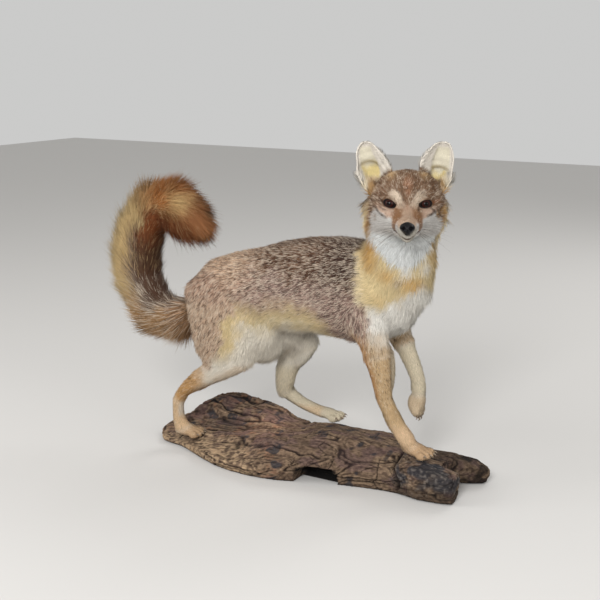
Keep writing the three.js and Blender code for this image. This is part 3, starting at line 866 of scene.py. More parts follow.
def make_skin():
    """The finished skin: finer at the face and the toes, with its lids, mouth line and ears."""
    skin = skin_mesh()
    for ahead, wide in ((-12, 42), (18, 28)):
        x, y, z = to_head(points_of(skin)).T
        subdivide_where(skin, (x > ahead) & (z > -52) & (z < 36) & (np.abs(y) < wide))
    points = points_of(skin)
    toes = np.zeros(len(points), bool)
    for paw, (_, _, length, wide, _, _) in PAWS.items():
        ahead, left, above = toe_places(points, paw).T
        beside = np.maximum(np.abs(left), np.abs(above))
        toes |= (ahead > length * 0.15) & (ahead < length) & (beside < wide + 4)
    subdivide_where(skin, toes)
    points, edges = points_of(skin), edges_of(skin)
    x, _, z = to_head(points).T
    near = step(-16, -8, x) * step(-60, -52, z)
    points += (smoothed(points, edges, 4) - points) * near[:, None]
    set_points(skin, points)
    for centre, sizes, amount in FACE_FORMS:
        set_points(skin, press(points_of(skin), normals_of(skin), centre, sizes, amount))
    set_points(skin, part_toes(points_of(skin), normals_of(skin)))
    points, normals = points_of(skin), normals_of(skin)
    settle_mouth(tree_of(skin))
    groove = step(3.2, 0.6, mouth_gap(to_head(points))) * 1.1 * MM
    set_points(skin, points - normals * groove[:, None])
    tree = tree_of(skin)
    extras = [lid(tree, 1), lid(tree, -1), mouth_lines(tree)]
    sink_sockets(skin)
    extras += [ear_sheet(1), ear_sheet(-1)]
    joined("fox_skin", skin, *extras)
    bpy.ops.object.shade_smooth()
    return skin


# ---------- markings, shared by the skin and the coat ----------
# Inks are what the hairs are coloured with, as six hex digits.
INK = dict(
    # trunk, neck and chest
    withers="4a3125", back="694833", saddle_rump="b3917a", rump_pale="d3b091", flank="9c8175",
    low_flank="ccb88b", belly="d2cabb", neck_gold="c19450", neck_cream="ceb98c", neck_nape="936f4e",
    neck_grey="998770", nape="806552", collar_pale="d6c8ac", bib="d7d3ca", throat="d2d4d2",
    # legs
    thigh="b89c83", thigh_cream="ccb688", shin="b08755", hock="ceaf8a", paw="b79876", arm_tan="baa07f",
    fore_arm="bb9e77", fore_rust="ad7438", pastern="d5b692", pale_leg="cbbfa6",
    # head
    forehead="71553f", forehead_rust="9f7053", crown_dark="3e2e21", brow="d6c3ad", cheek="c3bfba",
    cheek_outer="73543c", cheek_gold="b58a4a", temple="6b4d37", ruff="b3803c", muzzle_top="a78c76",
    muzzle_side_and_shade="7d5738", lip="a19b90", mouth="4c3b31", under_eye="b49986", crease_shade_and_pad="48352a",
    eye_line="3d261b", rust_spot="995531", lid="140d0b",
    # ears
    ear_rim="dfd7cb", ear_lobe="ded6c0", ear_cup="dac78d", ear_fold_shade="b69e69", ear_base="c9b18d",
    ear_back="9a784f", ear_foot="d9caae", ear_gold="c9a45e", ear_blond="c2a070",
    # tail
    tail_outer="bda374", tail_inner="4a2e1d", tail_root="906e52", tail_low="947048", tail_grey="7b6a5c",
    tail_star="c9a873", tail_top="ad6a33", tail_end="94603a", tail_throat="7a4220",
)
INK = {name: linear(value) for name, value in INK.items()}
PALE_TIP = linear("d3c5b1")
DARK_TIP = linear("2a1e19")
GOLD_TIP = linear("c3a477")


class Markings:
    """The coat's colour, and how grizzled it is, at each place of the skin."""

    def __init__(self, points, normals, shares):
        self.points, self.normals, self.shares = points, normals, shares
        self.colour = np.tile(INK["belly"], (len(points), 1))
        self.grizzle = np.zeros(len(points))
        self.places = points / MM
        self.head = to_head(points)
        self.ragged = noise(points, 14 * MM, 3) * 0.6 + noise(points, 5 * MM, 4) * 0.4
        for marks in (body_marks, limb_marks, tail_marks, head_marks, ear_marks):
            marks(self)

    def part(self, *nodes):
        return share_of(self.shares, *nodes)

    def lay(self, ink, mask, grizzle=0.0):
        """Lays an ink over the marks so far, as far as the mask goes."""
        mask = np.clip(mask, 0, 1)
        self.colour += (INK[ink] - self.colour) * mask[:, None]
        self.grizzle += (grizzle - self.grizzle) * mask


def spot(points, at, sizes):
    """A soft round mark: 1 at its middle, fading out at its sizes."""
    return step(1, 0, egg_gap(points, at, sizes))


def stroke(points, start, end, wide):
    """A soft stroke from one place to another, in a space of the same units."""
    return step(wide, wide * 0.35, line_gap(points, np.array(start, float), np.array(end, float)))


def nape_facing(points, normals):
    """How squarely each place faces backwards, by the trunk below and by the turned head above."""
    turned = step(290, 370, points[:, 2] / MM)[:, None]
    back = unit(np.array([-1.0, 0, 0]) * (1 - turned) - HEAD_AXES[0] * turned)
    return (normals * back).sum(1)


# The marks that follow are bounded by millimetres in the row's frame, or in the head's frame where they use
# m.head, and are ragged by a few millimetres. The last number of a mark is how grizzled the hair is there.
def body_marks(m):
    x, _, z = m.places.T
    hx, hy, hz = m.head.T
    ragged = m.ragged
    # where the grizzled back stops: against the neck, and along the flank
    edge = np.interp(z, [219, 239, 267, 295, 328, 356], [116, 110, 103, 95, 90, 90])
    collar = x - (edge + ragged * 12)
    stations = [-190, -150, -109, -66, -14, 26, 46, 66, 100]
    edge = np.interp(x, stations, [180, 222, 246, 254, 260, 255, 232, 206, 198])
    flank = z - (edge + ragged * 12)
    m.lay("low_flank", step(-46, -14, flank), 0.1)
    m.lay("flank", step(-28, 18, flank))
    m.grizzle = 0.95 * step(-32, 26, flank)
    m.lay("back", step(282, 318, z + ragged * 30), 0.95)
    m.lay("withers", step(270, 320, z) * step(0, 70, x), 1)
    m.lay("saddle_rump", step(-70, -165, x) * step(-10, 20, flank), 0.9)
    m.lay("rump_pale", step(-45, -130, x) * step(250, 300, z) * 0.75, 0.9)
    front = step(-3, 4, collar)
    m.lay("neck_cream", front, 0)
    m.lay("neck_gold", front * step(0.0, 0.6, noise(m.points, 22 * MM, 71)) * step(270, 300, z) * 0.3, 0)
    edge = step(-8, 2, collar) * step(16, 2, collar + ragged * 10)
    m.lay("collar_pale", edge * step(350, 330, z) * 0.4, 0.4)
    # the back of the neck
    behind = nape_facing(m.points, m.normals) + ragged * 0.2
    rise = z + ragged * 20
    m.lay("neck_nape", front * step(-0.05, 0.4, behind) * step(285, 325, rise) * 0.8, 0.6)
    m.lay("nape", front * step(0.3, 0.7, behind) * step(228, 262, rise), 0.95)
    m.lay("nape", front * step(-16, -30, hx) * step(-20, 10, hz), 0.95)
    # the white bib, and the gold and grey round it
    brim = np.interp(x, [105, 128, 144, 164, 185], [264, 274, 286, 301, 310])
    m.lay("bib", front * step(12, -10, z + ragged * 16 - brim), 0)
    both = np.stack([hx, np.abs(hy + 2), hz], 1)
    for ink, space, at, sizes, much, grizzle in (
        ("bib", m.head, (0, 3, -86), (26, 12, 12), 1.1, 0),
        ("bib", m.head, (-6, 25, -80), (26, 12, 18), 1.1, 0),
        ("neck_gold", both, (-14, 46, -60), (40, 24, 44), 1.2, 0.1),
        ("ruff", both, (-22, 48, -36), (30, 16, 36), 1, 0.25),
        ("neck_gold", m.head, (-4, -23, -92), (28, 18, 15), 0.8, 0.1),
        ("neck_gold", m.head, (-3, 11, -102), (28, 22, 16), 0.8, 0.1),
        ("neck_grey", m.head, (-2, -7, -100), (24, 13, 14), 0.8, 0.7),
    ):
        m.lay(ink, front * spot(space, at, sizes) * much, grizzle)
    edge = 44 - 1.15 * np.maximum(-46 - hz, 0)
    m.lay("throat", step(-4, 4, edge - both[:, 1] + ragged * 14) * step(-36, -46, hz) * step(-50, -30, hx))


def limb_marks(m):
    x, y, z = m.places.T
    ragged, ahead, up = m.ragged, m.normals[:, 0], m.normals[:, 2]
    thigh = m.part("thigh_right", "thigh_left")
    left = step(0, 10, y)
    back = np.interp(z, [120, 152, 194, 262], [-160, -150, -129, -118]) + 42 * left + ragged * 20
    m.lay("belly", thigh * step(-96, -90, x) * step(236, 222, z), 0)
    cream = thigh * step(back - 10, back + 6, x) * step(back + 44, back + 22, x)
    m.lay("thigh_cream", cream * step(150, 190, z), 0.1)
    m.lay("belly", thigh * step(back + 12, back + 38, x + ragged * 8) * step(246, 222, z), 0)
    m.lay("thigh", thigh * step(back + 10, back - 10, x) * step(136, 150, z), 0.75)
    m.lay("saddle_rump", thigh * step(240, 262, z), 0.9)
    m.lay("belly", thigh * step(24, 14, np.abs(y)), 0)
    # below the knee the front of the leg is white and the back of it tan
    shin = m.part("shin_right")
    above = (z - 142) - (x + 140) * 0.64 + ragged * 14
    m.lay("belly", shin, 0)
    m.lay("shin", shin * step(0, -16, above) * 0.35 + shin * step(-136, -198, x + ragged * 14), 0.3)
    shin = m.part("shin_left")
    m.lay("pale_leg", shin, 0.05)
    m.lay("belly", shin * step(132, 152, z), 0)
    near, far = m.part("hock_right"), m.part("hock_left")
    m.lay("hock", near, 0.25)
    m.lay("belly", near * step(0.2, 0.8, ahead) * step(48, 62, z) * 0.7, 0.1)
    m.lay("pale_leg", far, 0.05)
    m.lay("hock", far * step(82, 74, z) * 0.6, 0.05)
    arm = m.part("upper_arm_right", "upper_arm_left")
    m.lay("bib", arm * step(112, 124, x + (z - 240) * 0.1), 0)
    m.lay("flank", arm * step(112, 102, x + ragged * 12) * step(205, 216, z), 0.85)
    m.lay("arm_tan", arm * step(246, 214, z + ragged * 14), 0.45)
    near = m.part("forearm_right")
    m.lay("fore_arm", near * step(236, 214, z), 0.45)
    m.lay("fore_arm", near * step(150, 120, z), 0.15)
    behind = m.part("forearm_right", "upper_arm_right") * step(0.1, -0.6, ahead)
    m.lay("fore_rust", behind * step(240, 220, z) * step(120, 150, z) * 0.7, 0.3)
    m.lay("pale_leg", near * step(-34, -26, y) * step(120, 150, z) * 0.7, 0.05)
    m.lay("pastern", near * step(112, 92, z), 0)
    m.lay("pale_leg", m.part("forearm_left"), 0.05)
    m.lay("paw", m.part("paw_hind_right", "paw_fore_right"), 0.1)
    m.lay("pale_leg", m.part("paw_hind_left", "paw_fore_left"), 0.1)
    # the lifted paw shows its dark pads below
    lifted = m.part("paw_fore_left")
    m.lay("paw", lifted * 0.5, 0.2)
    m.lay("crease_shade_and_pad", lifted * step(101, 95, z) * step(0.2, -0.4, up) * 0.6, 0)


def tail_marks(m):
    tail = m.part(*TAIL_NODES)
    inner, run = tail_place(m.points)
    inner += m.ragged * 9
    m.lay("tail_outer", tail, 0.25)
    m.lay("tail_low", tail * step(0.34, 0.2, run), 0.5)
    m.lay("tail_grey", tail * step(-2, 6, inner) * step(0.62, 0.5, run), 0.8)
    m.lay("tail_inner", tail * step(5, 13, inner) * step(0.02, 0.12, run), 0.25)
    m.lay("tail_root", tail * step(0.12, 0.02, run) * step(10, 2, inner), 0.7)
    m.lay("tail_top", tail * step(0.59, 0.73, run) * step(9, 0, inner), 0.3)
    m.lay("tail_throat", tail * step(0.42, 0.58, run) * step(3, 10, inner), 0.15)
    m.lay("tail_end", tail * step(0.7, 0.84, run) * step(12, 5, inner), 0.15)
    m.lay("tail_throat", tail * step(0.66, 0.78, run) * step(3, 10, inner) * 0.75, 0.15)
    m.lay("tail_star", tail * spot(m.places, (-248, -14, 388), (28, 22, 22)), 0.1)


# Wrinkles under the eyes, as rows of places across the face: left and up. Their dark is painted shade in the
# creases.
WRINKLES = [
    [(-43, -3), (-39, -10), (-33, -14.5), (-27, -17)],
    [(-40, 1), (-34, 4)],
    [(31, -5), (35, -8), (36, -11)],
    [(26, -14), (31, -12.5), (35, -9)],
    [(-36, -5), (-28, -8)],
]


def head_marks(m):
    head = step(0.3, 0.6, m.part("head", "lower_jaw"))
    ragged = m.ragged
    x, y, z = m.head.T
    side = np.abs(y)
    both = np.stack([x, side, z], 1)
    m.lay("forehead", head, 0.5)
    m.lay("forehead_rust", head * spot(both, (2, 0, 26), (16, 9, 17)) * 0.7, 0.6)
    m.lay("temple", head * step(26, 36, side) * step(-8, 4, z) * 0.85, 0.6)
    # the cheeks: white inside, with a dark edge, then gold
    under = np.interp(side, [16, 26, 34, 42], [-18, -15, -10, -5]) + ragged * 5
    outer = np.interp(z, [-50, -34, -20, -4], [50, 48, 44, 38]) - ragged * 10
    m.lay("under_eye", head * step(-1, -5, z) * step(44, 36, side), 0.25)
    m.lay("cheek", head * step(1.5, -2.5, z - under) * step(7, 0, side - outer), 0)
    dark_edge = step(36, 43, side + ragged * 12 - np.interp(z, [-34, -4], [6, 0]))
    m.lay("cheek_outer", head * dark_edge * step(14, 4, z) * step(-34, -22, z), 0.9)
    gold_edge = step(42, 49, side + ragged * 10 - 3 * step(0, -5, y))
    m.lay("cheek_gold", head * gold_edge * step(16, 0, z), 0.3)
    m.lay("ruff", head * step(-20, -32, x) * step(41, 48, side) * step(24, 10, z), 0.35)
    behind = nape_facing(m.points, m.normals)
    m.lay("nape", head * step(0.3, 0.7, behind) * step(-24, -40, x), 0.9)
    m.lay("throat", head * step(-36, -44, z), 0)
    m.lay("under_eye", head * spot(both, (10, 27, -8), (14, 12, 6.5)) * 0.85, 0.3)
    # the muzzle and its lips
    muzzle = head * step(12, 24, x)
    m.lay("muzzle_top", muzzle * step(14, 9, side + ragged * 2) * step(-29, -20, z), 0.25)
    m.lay("forehead_rust", head * stroke(both, (24, 0, 0), (8, 0, 16), 6) * 0.8, 0.3)
    # the muzzle's brown sides, with painted shade along them
    for start, end in (((19, 14, -4), (33, 15.5, -14)), ((33, 15.5, -14), (35, 18, -26))):
        m.lay("muzzle_side_and_shade", head * stroke(both, start, end, 12) * 0.9, 0.25)
    tip = muzzle * step(50, 58, x) * step(-22, -26, z)
    m.lay("lip", tip + muzzle * step(-29, -33, z) * step(36, 46, x), 0)
    m.lay("lip", muzzle * spot(both, (58, 11, -28), (9, 7, 9)), 0)
    for start, end in (((6, 19, 13), (12, 14, 9)), ((12, 14, 9), (18, 9.5, 1))):
        m.lay("brow", head * stroke(both, start, end, 8.5) * (0.5 + 0.6 * ragged), 0.7)
    # wrinkles, painted dark as shade in their creases; then the lines at the eyes' corners and the rims of
    # the lids
    for line in WRINKLES:
        for start, end in zip(line[:-1], line[1:]):
            crease = head * stroke(m.head[:, 1:], start, end, 2.3) * step(-14, -6, x)
            m.lay("crease_shade_and_pad", crease * (0.7 + 0.4 * ragged), 0)
    m.lay("eye_line", head * stroke(m.head, (4, -31, 3.0), (-4, -43, 3.5), 3.0) * 0.8, 0.1)
    m.lay("rust_spot", head * spot(m.head, (2, 37, 3), (9, 6, 4)) * 0.9, 0)
    m.lay("eye_line", head * stroke(m.head, (-1, 41, 3), (-9, 47, 1), 3.0) * 0.8, 0.1)
    m.lay("eye_line", head * stroke(m.head, (16, 13.5, -3.5), (20, 13, -8), 2.0) * 0.8, 0)
    for s in (1, -1):
        wide, high, deep = from_eye(m.head, s)
        lash = step(1.42, 1.2, np.hypot(wide / LID["long"], high / LID["upper"]) * 1.16)
        m.lay("lid", head * lash * step(0, 3, deep), 0)
    m.lay("mouth", head * step(1.9, 0.9, mouth_gap(m.head)), 0)
    # blond hair before and beside the ears, and the dark crown between them
    m.lay("ear_blond", head * spot(both, (-10, 23, 40), (16, 12, 14)) * 0.8, 0.5)
    m.lay("ear_blond", head * spot(both, (-20, 50, 20), (16, 14, 16)), 0.1)
    m.lay("crown_dark", head * spot(both, (-12, 0, 46), (14, 9, 8)) * 1.2, 0.3)


def ear_marks(m):
    ear = step(0.3, 0.6, m.part(*EAR_NODES))
    turn, arch = ear_place(m.head)
    z = m.head[:, 2]
    for side, rows in EAR_ROWS.items():
        middle = side * np.interp(z, rows[:, 0], rows[:, 1:3].mean(1)) + EAR["shift"]
        axis = np.stack([np.full(len(z), EAR["forward"] + 14.0), middle, z], 1)
        facing = (unit(axis - m.head) * (m.normals @ HEAD_AXES.T)).sum(1) > -0.4
        this = ear * (side * m.head[:, 1] > 0)
        inside = this * facing
        m.lay("ear_back", this * ~facing)
        m.lay("ear_lobe", inside)
        cup = inside * step(3, -12, arch + m.ragged * 12) * step(-34, -18, arch)
        m.lay("ear_cup", cup * step(-0.55, -0.2, turn))
        # painted shade along the crease of the arched fold
        fold = inside * step(3.2, 0.6, np.abs(arch)) * step(-0.6, -0.3, turn) * step(0.9, 0.7, turn)
        m.lay("ear_fold_shade", fold * 0.45)
        m.lay("ear_base", inside * step(-18, -28, arch))
        m.lay("ear_rim", inside * step(-0.25, -0.5, turn))
        m.lay("ear_rim", this * (step(0.7, 0.85, np.abs(turn)) + step(71, 76, z)))
        m.lay("ear_foot", this * step(31, 17, z + m.ragged * 8) * facing)
        m.lay("ear_gold", inside * spot(np.stack([turn, z / 14], 1), (0.1, 1.6), (0.7, 0.8)) * 0.35)


# ---------- the coat ----------
def paint(mesh, colours):
    """The colour attribute that the finishes read, with a value for each corner place."""
    layer = mesh.color_attributes.new(name="coat", type="FLOAT_COLOR", domain="POINT")
    full = np.ones((len(colours), 4), np.float32)
    full[:, :3] = np.clip(colours, 0, 1)
    layer.data.foreach_set("color", full.ravel())


def mesh_from(name, places, triangles):
    """A mesh of triangles, with an empty UV map OFBake."""
    mesh = bpy.data.meshes.new(name)
    mesh.vertices.add(len(places))
    mesh.vertices.foreach_set("co", places.astype(np.float32).ravel())
    mesh.loops.add(triangles.size)
    mesh.loops.foreach_set("vertex_index", triangles.astype(np.int32).ravel())
    mesh.polygons.add(len(triangles))
    mesh.polygons.foreach_set("loop_start", np.arange(0, triangles.size, 3, dtype=np.int32))
    mesh.update(calc_edges=True)
    mesh.uv_layers.new(name="OFBake")
    return mesh


def soft_normals(up, lie, rings):
    """Normals for the locks' corners that lean towards the skin's, so a coat shades as one soft body."""
    across = unit(np.cross(up, lie))
    around = [up + across * 0.45, up, up - across * 0.45]
    return unit(np.stack([up] + around * rings + [up + lie * 0.25], 1))


# A lock's rings of three corners, as shares of its length and width, and how far it lifts on each stretch.
SHORT_LOCK = {"rings": ((0.45, 1.0),), "lifts": (1.3, 0.65)}
LONG_LOCK = {"rings": ((0.36, 1.0),), "lifts": (1.3, 0.8)}


def lock_faces(rings):
    """Triangles of one closed lock: corner 0 is its root, then three to a ring, then its tip."""
    tip = 1 + 3 * rings
    faces = []
    for k in range(3):
        after = (k + 1) % 3
        faces.append((0, 1 + after, 1 + k))
        for ring in range(rings - 1):
            a, b = 1 + 3 * ring, 4 + 3 * ring
            faces.append((a + k, a + after, b + after))
            faces.append((a + k, b + after, b + k))
        faces.append((tip, tip - 3 + k, tip - 3 + after))
    return np.array(faces)[:, ::-1]


def lock_places(roots, up, lie, length, lift, width, kind):
    """Corner places of closed locks that rise from the skin and then lie along it."""
    across = unit(np.cross(up, lie))
    at = roots
    done = 0.0
    corners = [at]
    stops = list(kind["rings"]) + [(1.0, 0.0)]
    for (stop, wide), share in zip(stops, kind["lifts"]):
        angle = (lift * share)[:, None]
        way = lie * np.cos(angle) + up * np.sin(angle)
        at = at + way * (length * (stop - done))[:, None]
        done = stop
        if wide:
            half = across * (width * wide / 2)[:, None]
            ridge = np.cross(way, across) * (width * wide * 0.36)[:, None]
            corners += [at + half, at - ridge, at - half]
        else:
            corners.append(at)
    return np.stack(corners, 1)


class Hide:
    """The finished skin as numbers: where hair may grow, which way, how long and in what colour."""

    def __init__(self, skin):
        mesh = skin.data
        mesh.calc_loop_triangles()
        self.points, self.normals, self.edges = points_of(skin), normals_of(skin), edges_of(skin)
        self.triangles = read(mesh.loop_triangles, "vertices", 3, np.int32)
        self.shares = shares_of(self.points, self.edges, 8)
        _, length, lift, width, density = hair(self.points, self.normals, self.shares)
        self.length, self.lift, self.width = length * MM, np.radians(lift), width * MM
        self.density = density * 1e4 * (1 - self.bare())
        self.markings = Markings(self.points, self.normals, self.shares)
        self.lie = self.flow()
        a, b, c = self.points[self.triangles].transpose(1, 0, 2)
        self.middles = self.points[self.triangles].mean(1)
        self.areas = np.linalg.norm(np.cross(b - a, c - a), axis=1) / 2

    def bare(self):
        """1 where no hair grows: on the lids' rims and in the mouth line."""
        placed = to_head(self.points)
        bare = step(1.9, 1.1, mouth_gap(placed))
        for side in (1, -1):
            wide, high, deep = from_eye(placed, side)
            gap = np.hypot(wide / (LID["long"] + 1.2), high / (LID["upper"] + 1.2))
            bare = np.maximum(bare, step(1.12, 1.0, gap) * step(0, 3, deep))
        return bare

    def flow(self):
        """The way the hair lies at each place, along the skin."""
        points, normals = self.points, self.normals
        lie = self.shares @ LIE_TABLE
        placed = to_head(points)
        x, y, z = placed.T
        ones = np.ones(len(x))

        def turn_to(way, share):
            lie[:] += (way - lie) * share[:, None]

        back = unit(placed - np.array([68, 0, -20]))
        hang = np.stack([-0.45 * ones, 0.55 * np.sign(y), -0.75 * ones], 1)
        fall = step(-8, -34, x) * step(10, -20, z) + step(-30, -40, z) * step(30, 10, x)
        back += (hang - back) * np.clip(fall, 0, 1)[:, None]
        turn_to(back @ HEAD_AXES, share_of(self.shares, "head", "lower_jaw"))
        turn_to(TAIL_RUN[along_tail(points)], share_of(self.shares, *TAIL_NODES))
        turn, _ = ear_place(placed)
        over = np.stack([0.2 * ones, 0.9 * np.sign(y), 0.5 * ones], 1) @ HEAD_AXES
        turn_to(over, share_of(self.shares, *EAR_NODES) * step(-0.3, -0.6, turn))
        for at, sizes in HAIRY_FOLDS:
            gap = egg_gap(points / MM, at, np.array(sizes) * 1.6)
            turn_to(np.array([-0.35, 0, -0.94]), step(1.0, 0.5, gap))
        trunk = share_of(self.shares, "trunk")
        lie[:, 2] -= trunk * step(0.2, 0.9, np.abs(normals[:, 1])) * 0.15
        lie = smoothed(lie, self.edges, 12)
        lie -= normals * (lie * normals).sum(1)[:, None]
        return unit(lie)


def unwrapped(places, triangles):
    """UVs of these triangles' corners from an unwrap of the skin's own shape."""
    used, small = np.unique(triangles, return_inverse=True)
    sheet = new_piece("unwrap", mesh_from("unwrap", places[used], small.reshape(-1, 3)))
    edit(sheet, bpy.ops.uv.smart_project, angle_limit=math.radians(66), island_margin=0.002)
    corners = read(sheet.data.uv_layers["OFBake"].data, "uv", 2)
    bpy.data.objects.remove(sheet)
    return corners.reshape(-1, 3, 2)


PATCH = 0.0015  # half the width of one lock's patch of the UV map
ROOT_DEPTH = 0.3  # millimetres by which the locks' roots sit in the skin


def grow(hide, name, chosen, seed, kind):
    """One piece of coat over the chosen triangles of the skin."""
    rng = np.random.default_rng(SEED + seed)
    triangles = hide.triangles[chosen]
    weight = hide.areas[chosen] * hide.density[triangles].mean(1)
    total = weight.sum()
    count = int(total)
    order = np.cumsum(weight) / total
    draw = (np.arange(count) + rng.random(count)) / count
    pick = np.searchsorted(order, draw).clip(0, len(order) - 1)
    a, b = rng.random(count), rng.random(count)
    flip = a + b > 1
    a[flip], b[flip] = 1 - a[flip], 1 - b[flip]
    blend = np.stack([1 - a - b, a, b], 1)
    corner = triangles[pick]

    def at(values):
        if values.ndim == 1:
            return (values[corner] * blend).sum(1)
        return (values[corner] * blend[..., None]).sum(1)

    up = unit(at(hide.normals))
    roots = at(hide.points)
    lie = at(hide.lie)
    # hair parts into strands: neighbouring locks turn and rise together, and each a little on its own
    swing = noise(roots, 11 * MM, seed) * 0.22 + rng.normal(0, 0.19, count)
    across = np.cross(up, lie)
    lie = unit(lie * np.cos(swing)[:, None] + across * np.sin(swing)[:, None])
    lie = unit(lie - up * (lie * up).sum(1)[:, None])
    uneven = 1 + noise(roots, 9 * MM, seed + 50) * 0.12 + rng.normal(0, 0.16, count)
    length = at(hide.length) * uneven.clip(0.5, 1.5)
    lift = at(hide.lift) * (1 + rng.normal(0, 0.22, count)).clip(0.4, 1.7)
    width = at(hide.width) * rng.uniform(0.7, 1.25, count)
    places = lock_places(roots - up * ROOT_DEPTH * MM, up, lie, length, lift, width, kind)
    rings = len(kind["rings"])
    first = np.arange(count) * places.shape[1]
    faces = (lock_faces(rings)[None] + first[:, None, None]).reshape(-1, 3)
    root_uv = (unwrapped(hide.points, triangles)[pick] * blend[..., None]).sum(1)
    spots = [(0, -1)] + [(-1, -0.2), (0, 0), (1, -0.2)] * rings + [(0, 1)]
    uvs = root_uv[:, None] * (1 - 2 * PATCH) + PATCH + np.array(spots)[None] * PATCH
    pale_tip = GOLD_TIP if name in ("coat_tail_upper", "coat_tail_end") else PALE_TIP
    colours = lock_colours(hide, at, roots, rng, rings, seed, pale_tip)
    mesh = mesh_from(name, places.reshape(-1, 3), faces)
    spread = uvs.reshape(-1, 2)[faces.ravel()]
    mesh.uv_layers["OFBake"].data.foreach_set("uv", spread.astype(np.float32).ravel())
    paint(mesh, colours.reshape(-1, 3))
    mesh.shade_smooth()
    mesh.normals_split_custom_set_from_vertices(soft_normals(up, lie, rings).reshape(-1, 3))
    return new_piece(name, mesh)


def lock_colours(hide, at, roots, rng, rings, seed, pale_tip):
    """Root, middle and tip colours of each lock, with the pale and dark tips of grizzled hair."""
    colour = at(hide.markings.colour)
    grizzle = at(hide.markings.grizzle)
    count = len(colour)
    tone = 1 + rng.normal(0, 0.08, count) + noise(roots, 7 * MM, seed + 90) * 0.08
    colour = colour * tone.clip(0.6, 1.5)[:, None]
    # neighbouring locks share their tips, so the coat speckles in small clusters
    draw = rng.random(count) + 0.45 * noise(roots, 3.0 * MM, seed + 130)
    draw = draw.argsort().argsort() / count
    pale = (draw < 0.37 * grizzle)[:, None]
    dark = (draw > 1 - 0.37 * grizzle**2)[:, None]
    middle = np.where(dark, mix(colour, DARK_TIP, 0.62), colour)
    middle = np.where(pale, mix(colour, pale_tip, 0.4), middle)
    tip = np.where(pale, mix(colour, pale_tip, 0.9), mix(colour, pale_tip, 0.06))
    tip = np.where(dark, mix(colour, DARK_TIP, 0.9), tip)
    # the root is darker: the dark base of grizzled hair, and painted shade deep in the coat
    root = mix(colour * 0.8, DARK_TIP, 0.25 * grizzle)
    return np.stack([root] + [middle] * (3 * rings) + [tip], 1)


# ---------- finishes ----------
def finish(name, rough, gloss):
    """A new node material and its shader."""
    material = bpy.data.materials.new(name)
    material.use_nodes = True
    shader = material.node_tree.nodes["Principled BSDF"]
    shader.inputs["Roughness"].default_value = rough
    shader.inputs["Specular IOR Level"].default_value = gloss
    return material, shader


def wire(material, start, out, end, into):
    material.node_tree.links.new(start.outputs[out], end.inputs[into])


def node(material, kind, values=(), wires=()):
    """A new shader node, with values by name and its wires: own input, other node, its output."""
    made = material.node_tree.nodes.new("ShaderNode" + kind)
    for key, value in dict(values).items():
        if key in made.inputs:
            made.inputs[key].default_value = value
        else:
            setattr(made, key, value)
    for into, start, out in wires:
        wire(material, start, out, made, into)
    return made


def speckle(material, place, out, scale, detail, ends, band=(0, 1), rough=0.5):
    """Noise over a place, and the same noise as a factor between two ends."""
    values = {"Scale": scale, "Detail": detail, "Roughness": rough}
    fine = node(material, "TexNoise", values, [("Vector", place, out)])
    limits = {"From Min": band[0], "From Max": band[1], "To Min": ends[0], "To Max": ends[1]}
    return fine, node(material, "MapRange", limits, [("Value", fine, "Fac")])


def tint(material, shader, factor, out):
    """Colours the shader with the piece's own paint times a factor."""
    ink = node(material, "VertexColor", {"layer_name": "coat"})
    wires = [(0, ink, "Color"), ("Scale", factor, out)]
    tinted = node(material, "VectorMath", {"operation": "SCALE"}, wires)
    wire(material, tinted, "Vector", shader, "Base Color")


def relief(material, shader, height, out, strength, distance):
    """Bumps the shader's surface by a node's output."""
    values = {"Strength": strength, "Distance": distance}
    bump = node(material, "Bump", values, [("Height", height, out)])
    wire(material, bump, "Normal", shader, "Normal")


def painted(name, rough, gloss, grain, spread, detail=3.0, bump=None):
    """A finish whose colour is the piece's own paint, with fine grain in colour and perhaps in relief."""
    material, shader = finish(name, rough, gloss)
    place = node(material, "TexCoord")
    fine, shade = speckle(material, place, "Object", grain, detail, (1 - spread, 1 + spread))
    tint(material, shader, shade, "Result")
    if bump:
        relief(material, shader, fine, "Fac", *bump)
    return material, shader


def streaked(name, dark, light, rough, gloss, grain, detail=3.0):
    """A finish that wavers between two colours."""
    material, shader = finish(name, rough, gloss)
    place = node(material, "TexCoord")
    fine = node(material, "TexNoise", {"Scale": grain, "Detail": detail}, [("Vector", place, "Object")])
    ink = node(material, "ValToRGB", wires=[("Fac", fine, "Fac")])
    for stop, colour in zip(ink.color_ramp.elements, (dark, light)):
        stop.color = (*colour, 1)
    wire(material, ink, "Color", shader, "Base Color")
    return material, shader, place


def glass_finish():
    material, shader = painted("eye_glass_finish", 0.06, 0.12, 900.0, 0.25, detail=2.0)
    shader.inputs["Coat Weight"].default_value = 0.06
    shader.inputs["Coat Roughness"].default_value = 0.02
    return material


def nose_finish():
    dark, light = linear("060508"), linear("100e10")
    material, shader, place = streaked("nose_leather", dark, light, 0.34, 0.22, 160.0, 4.0)
    cells = node(material, "TexVoronoi", {"Scale": 1400.0}, [("Vector", place, "Object")])
    relief(material, shader, cells, "Distance", 0.6, 0.0004)
    return material


def plain_finish(name, hex_colour, rough, gloss, grain, spread):
    """One colour with fine streaks lighter and darker."""
    colour = linear(hex_colour)
    return streaked(name, colour * (1 - spread), colour * (1 + spread), rough, gloss, grain)[0]


def wood_finish():
    material, shader = finish("weathered_wood", 0.9, 0.15)
    place = node(material, "TexCoord")
    drawn = node(material, "Mapping", {"Scale": (0.12, 1, 1)}, [("Vector", place, "Object")])
    _, grain = speckle(material, drawn, "Vector", 620.0, 5.0, (0.62, 1.3), (0.3, 0.7), 0.65)
    _, mottle = speckle(material, place, "Object", 260.0, 6.0, (0.8, 1.16), (0.36, 0.62), 0.7)
    wires = [(0, grain, "Result"), (1, mottle, "Result")]
    both = node(material, "Math", {"operation": "MULTIPLY"}, wires)
    tint(material, shader, both, "Value")
    relief(material, shader, both, "Value", 1.0, 0.0014)
    return material


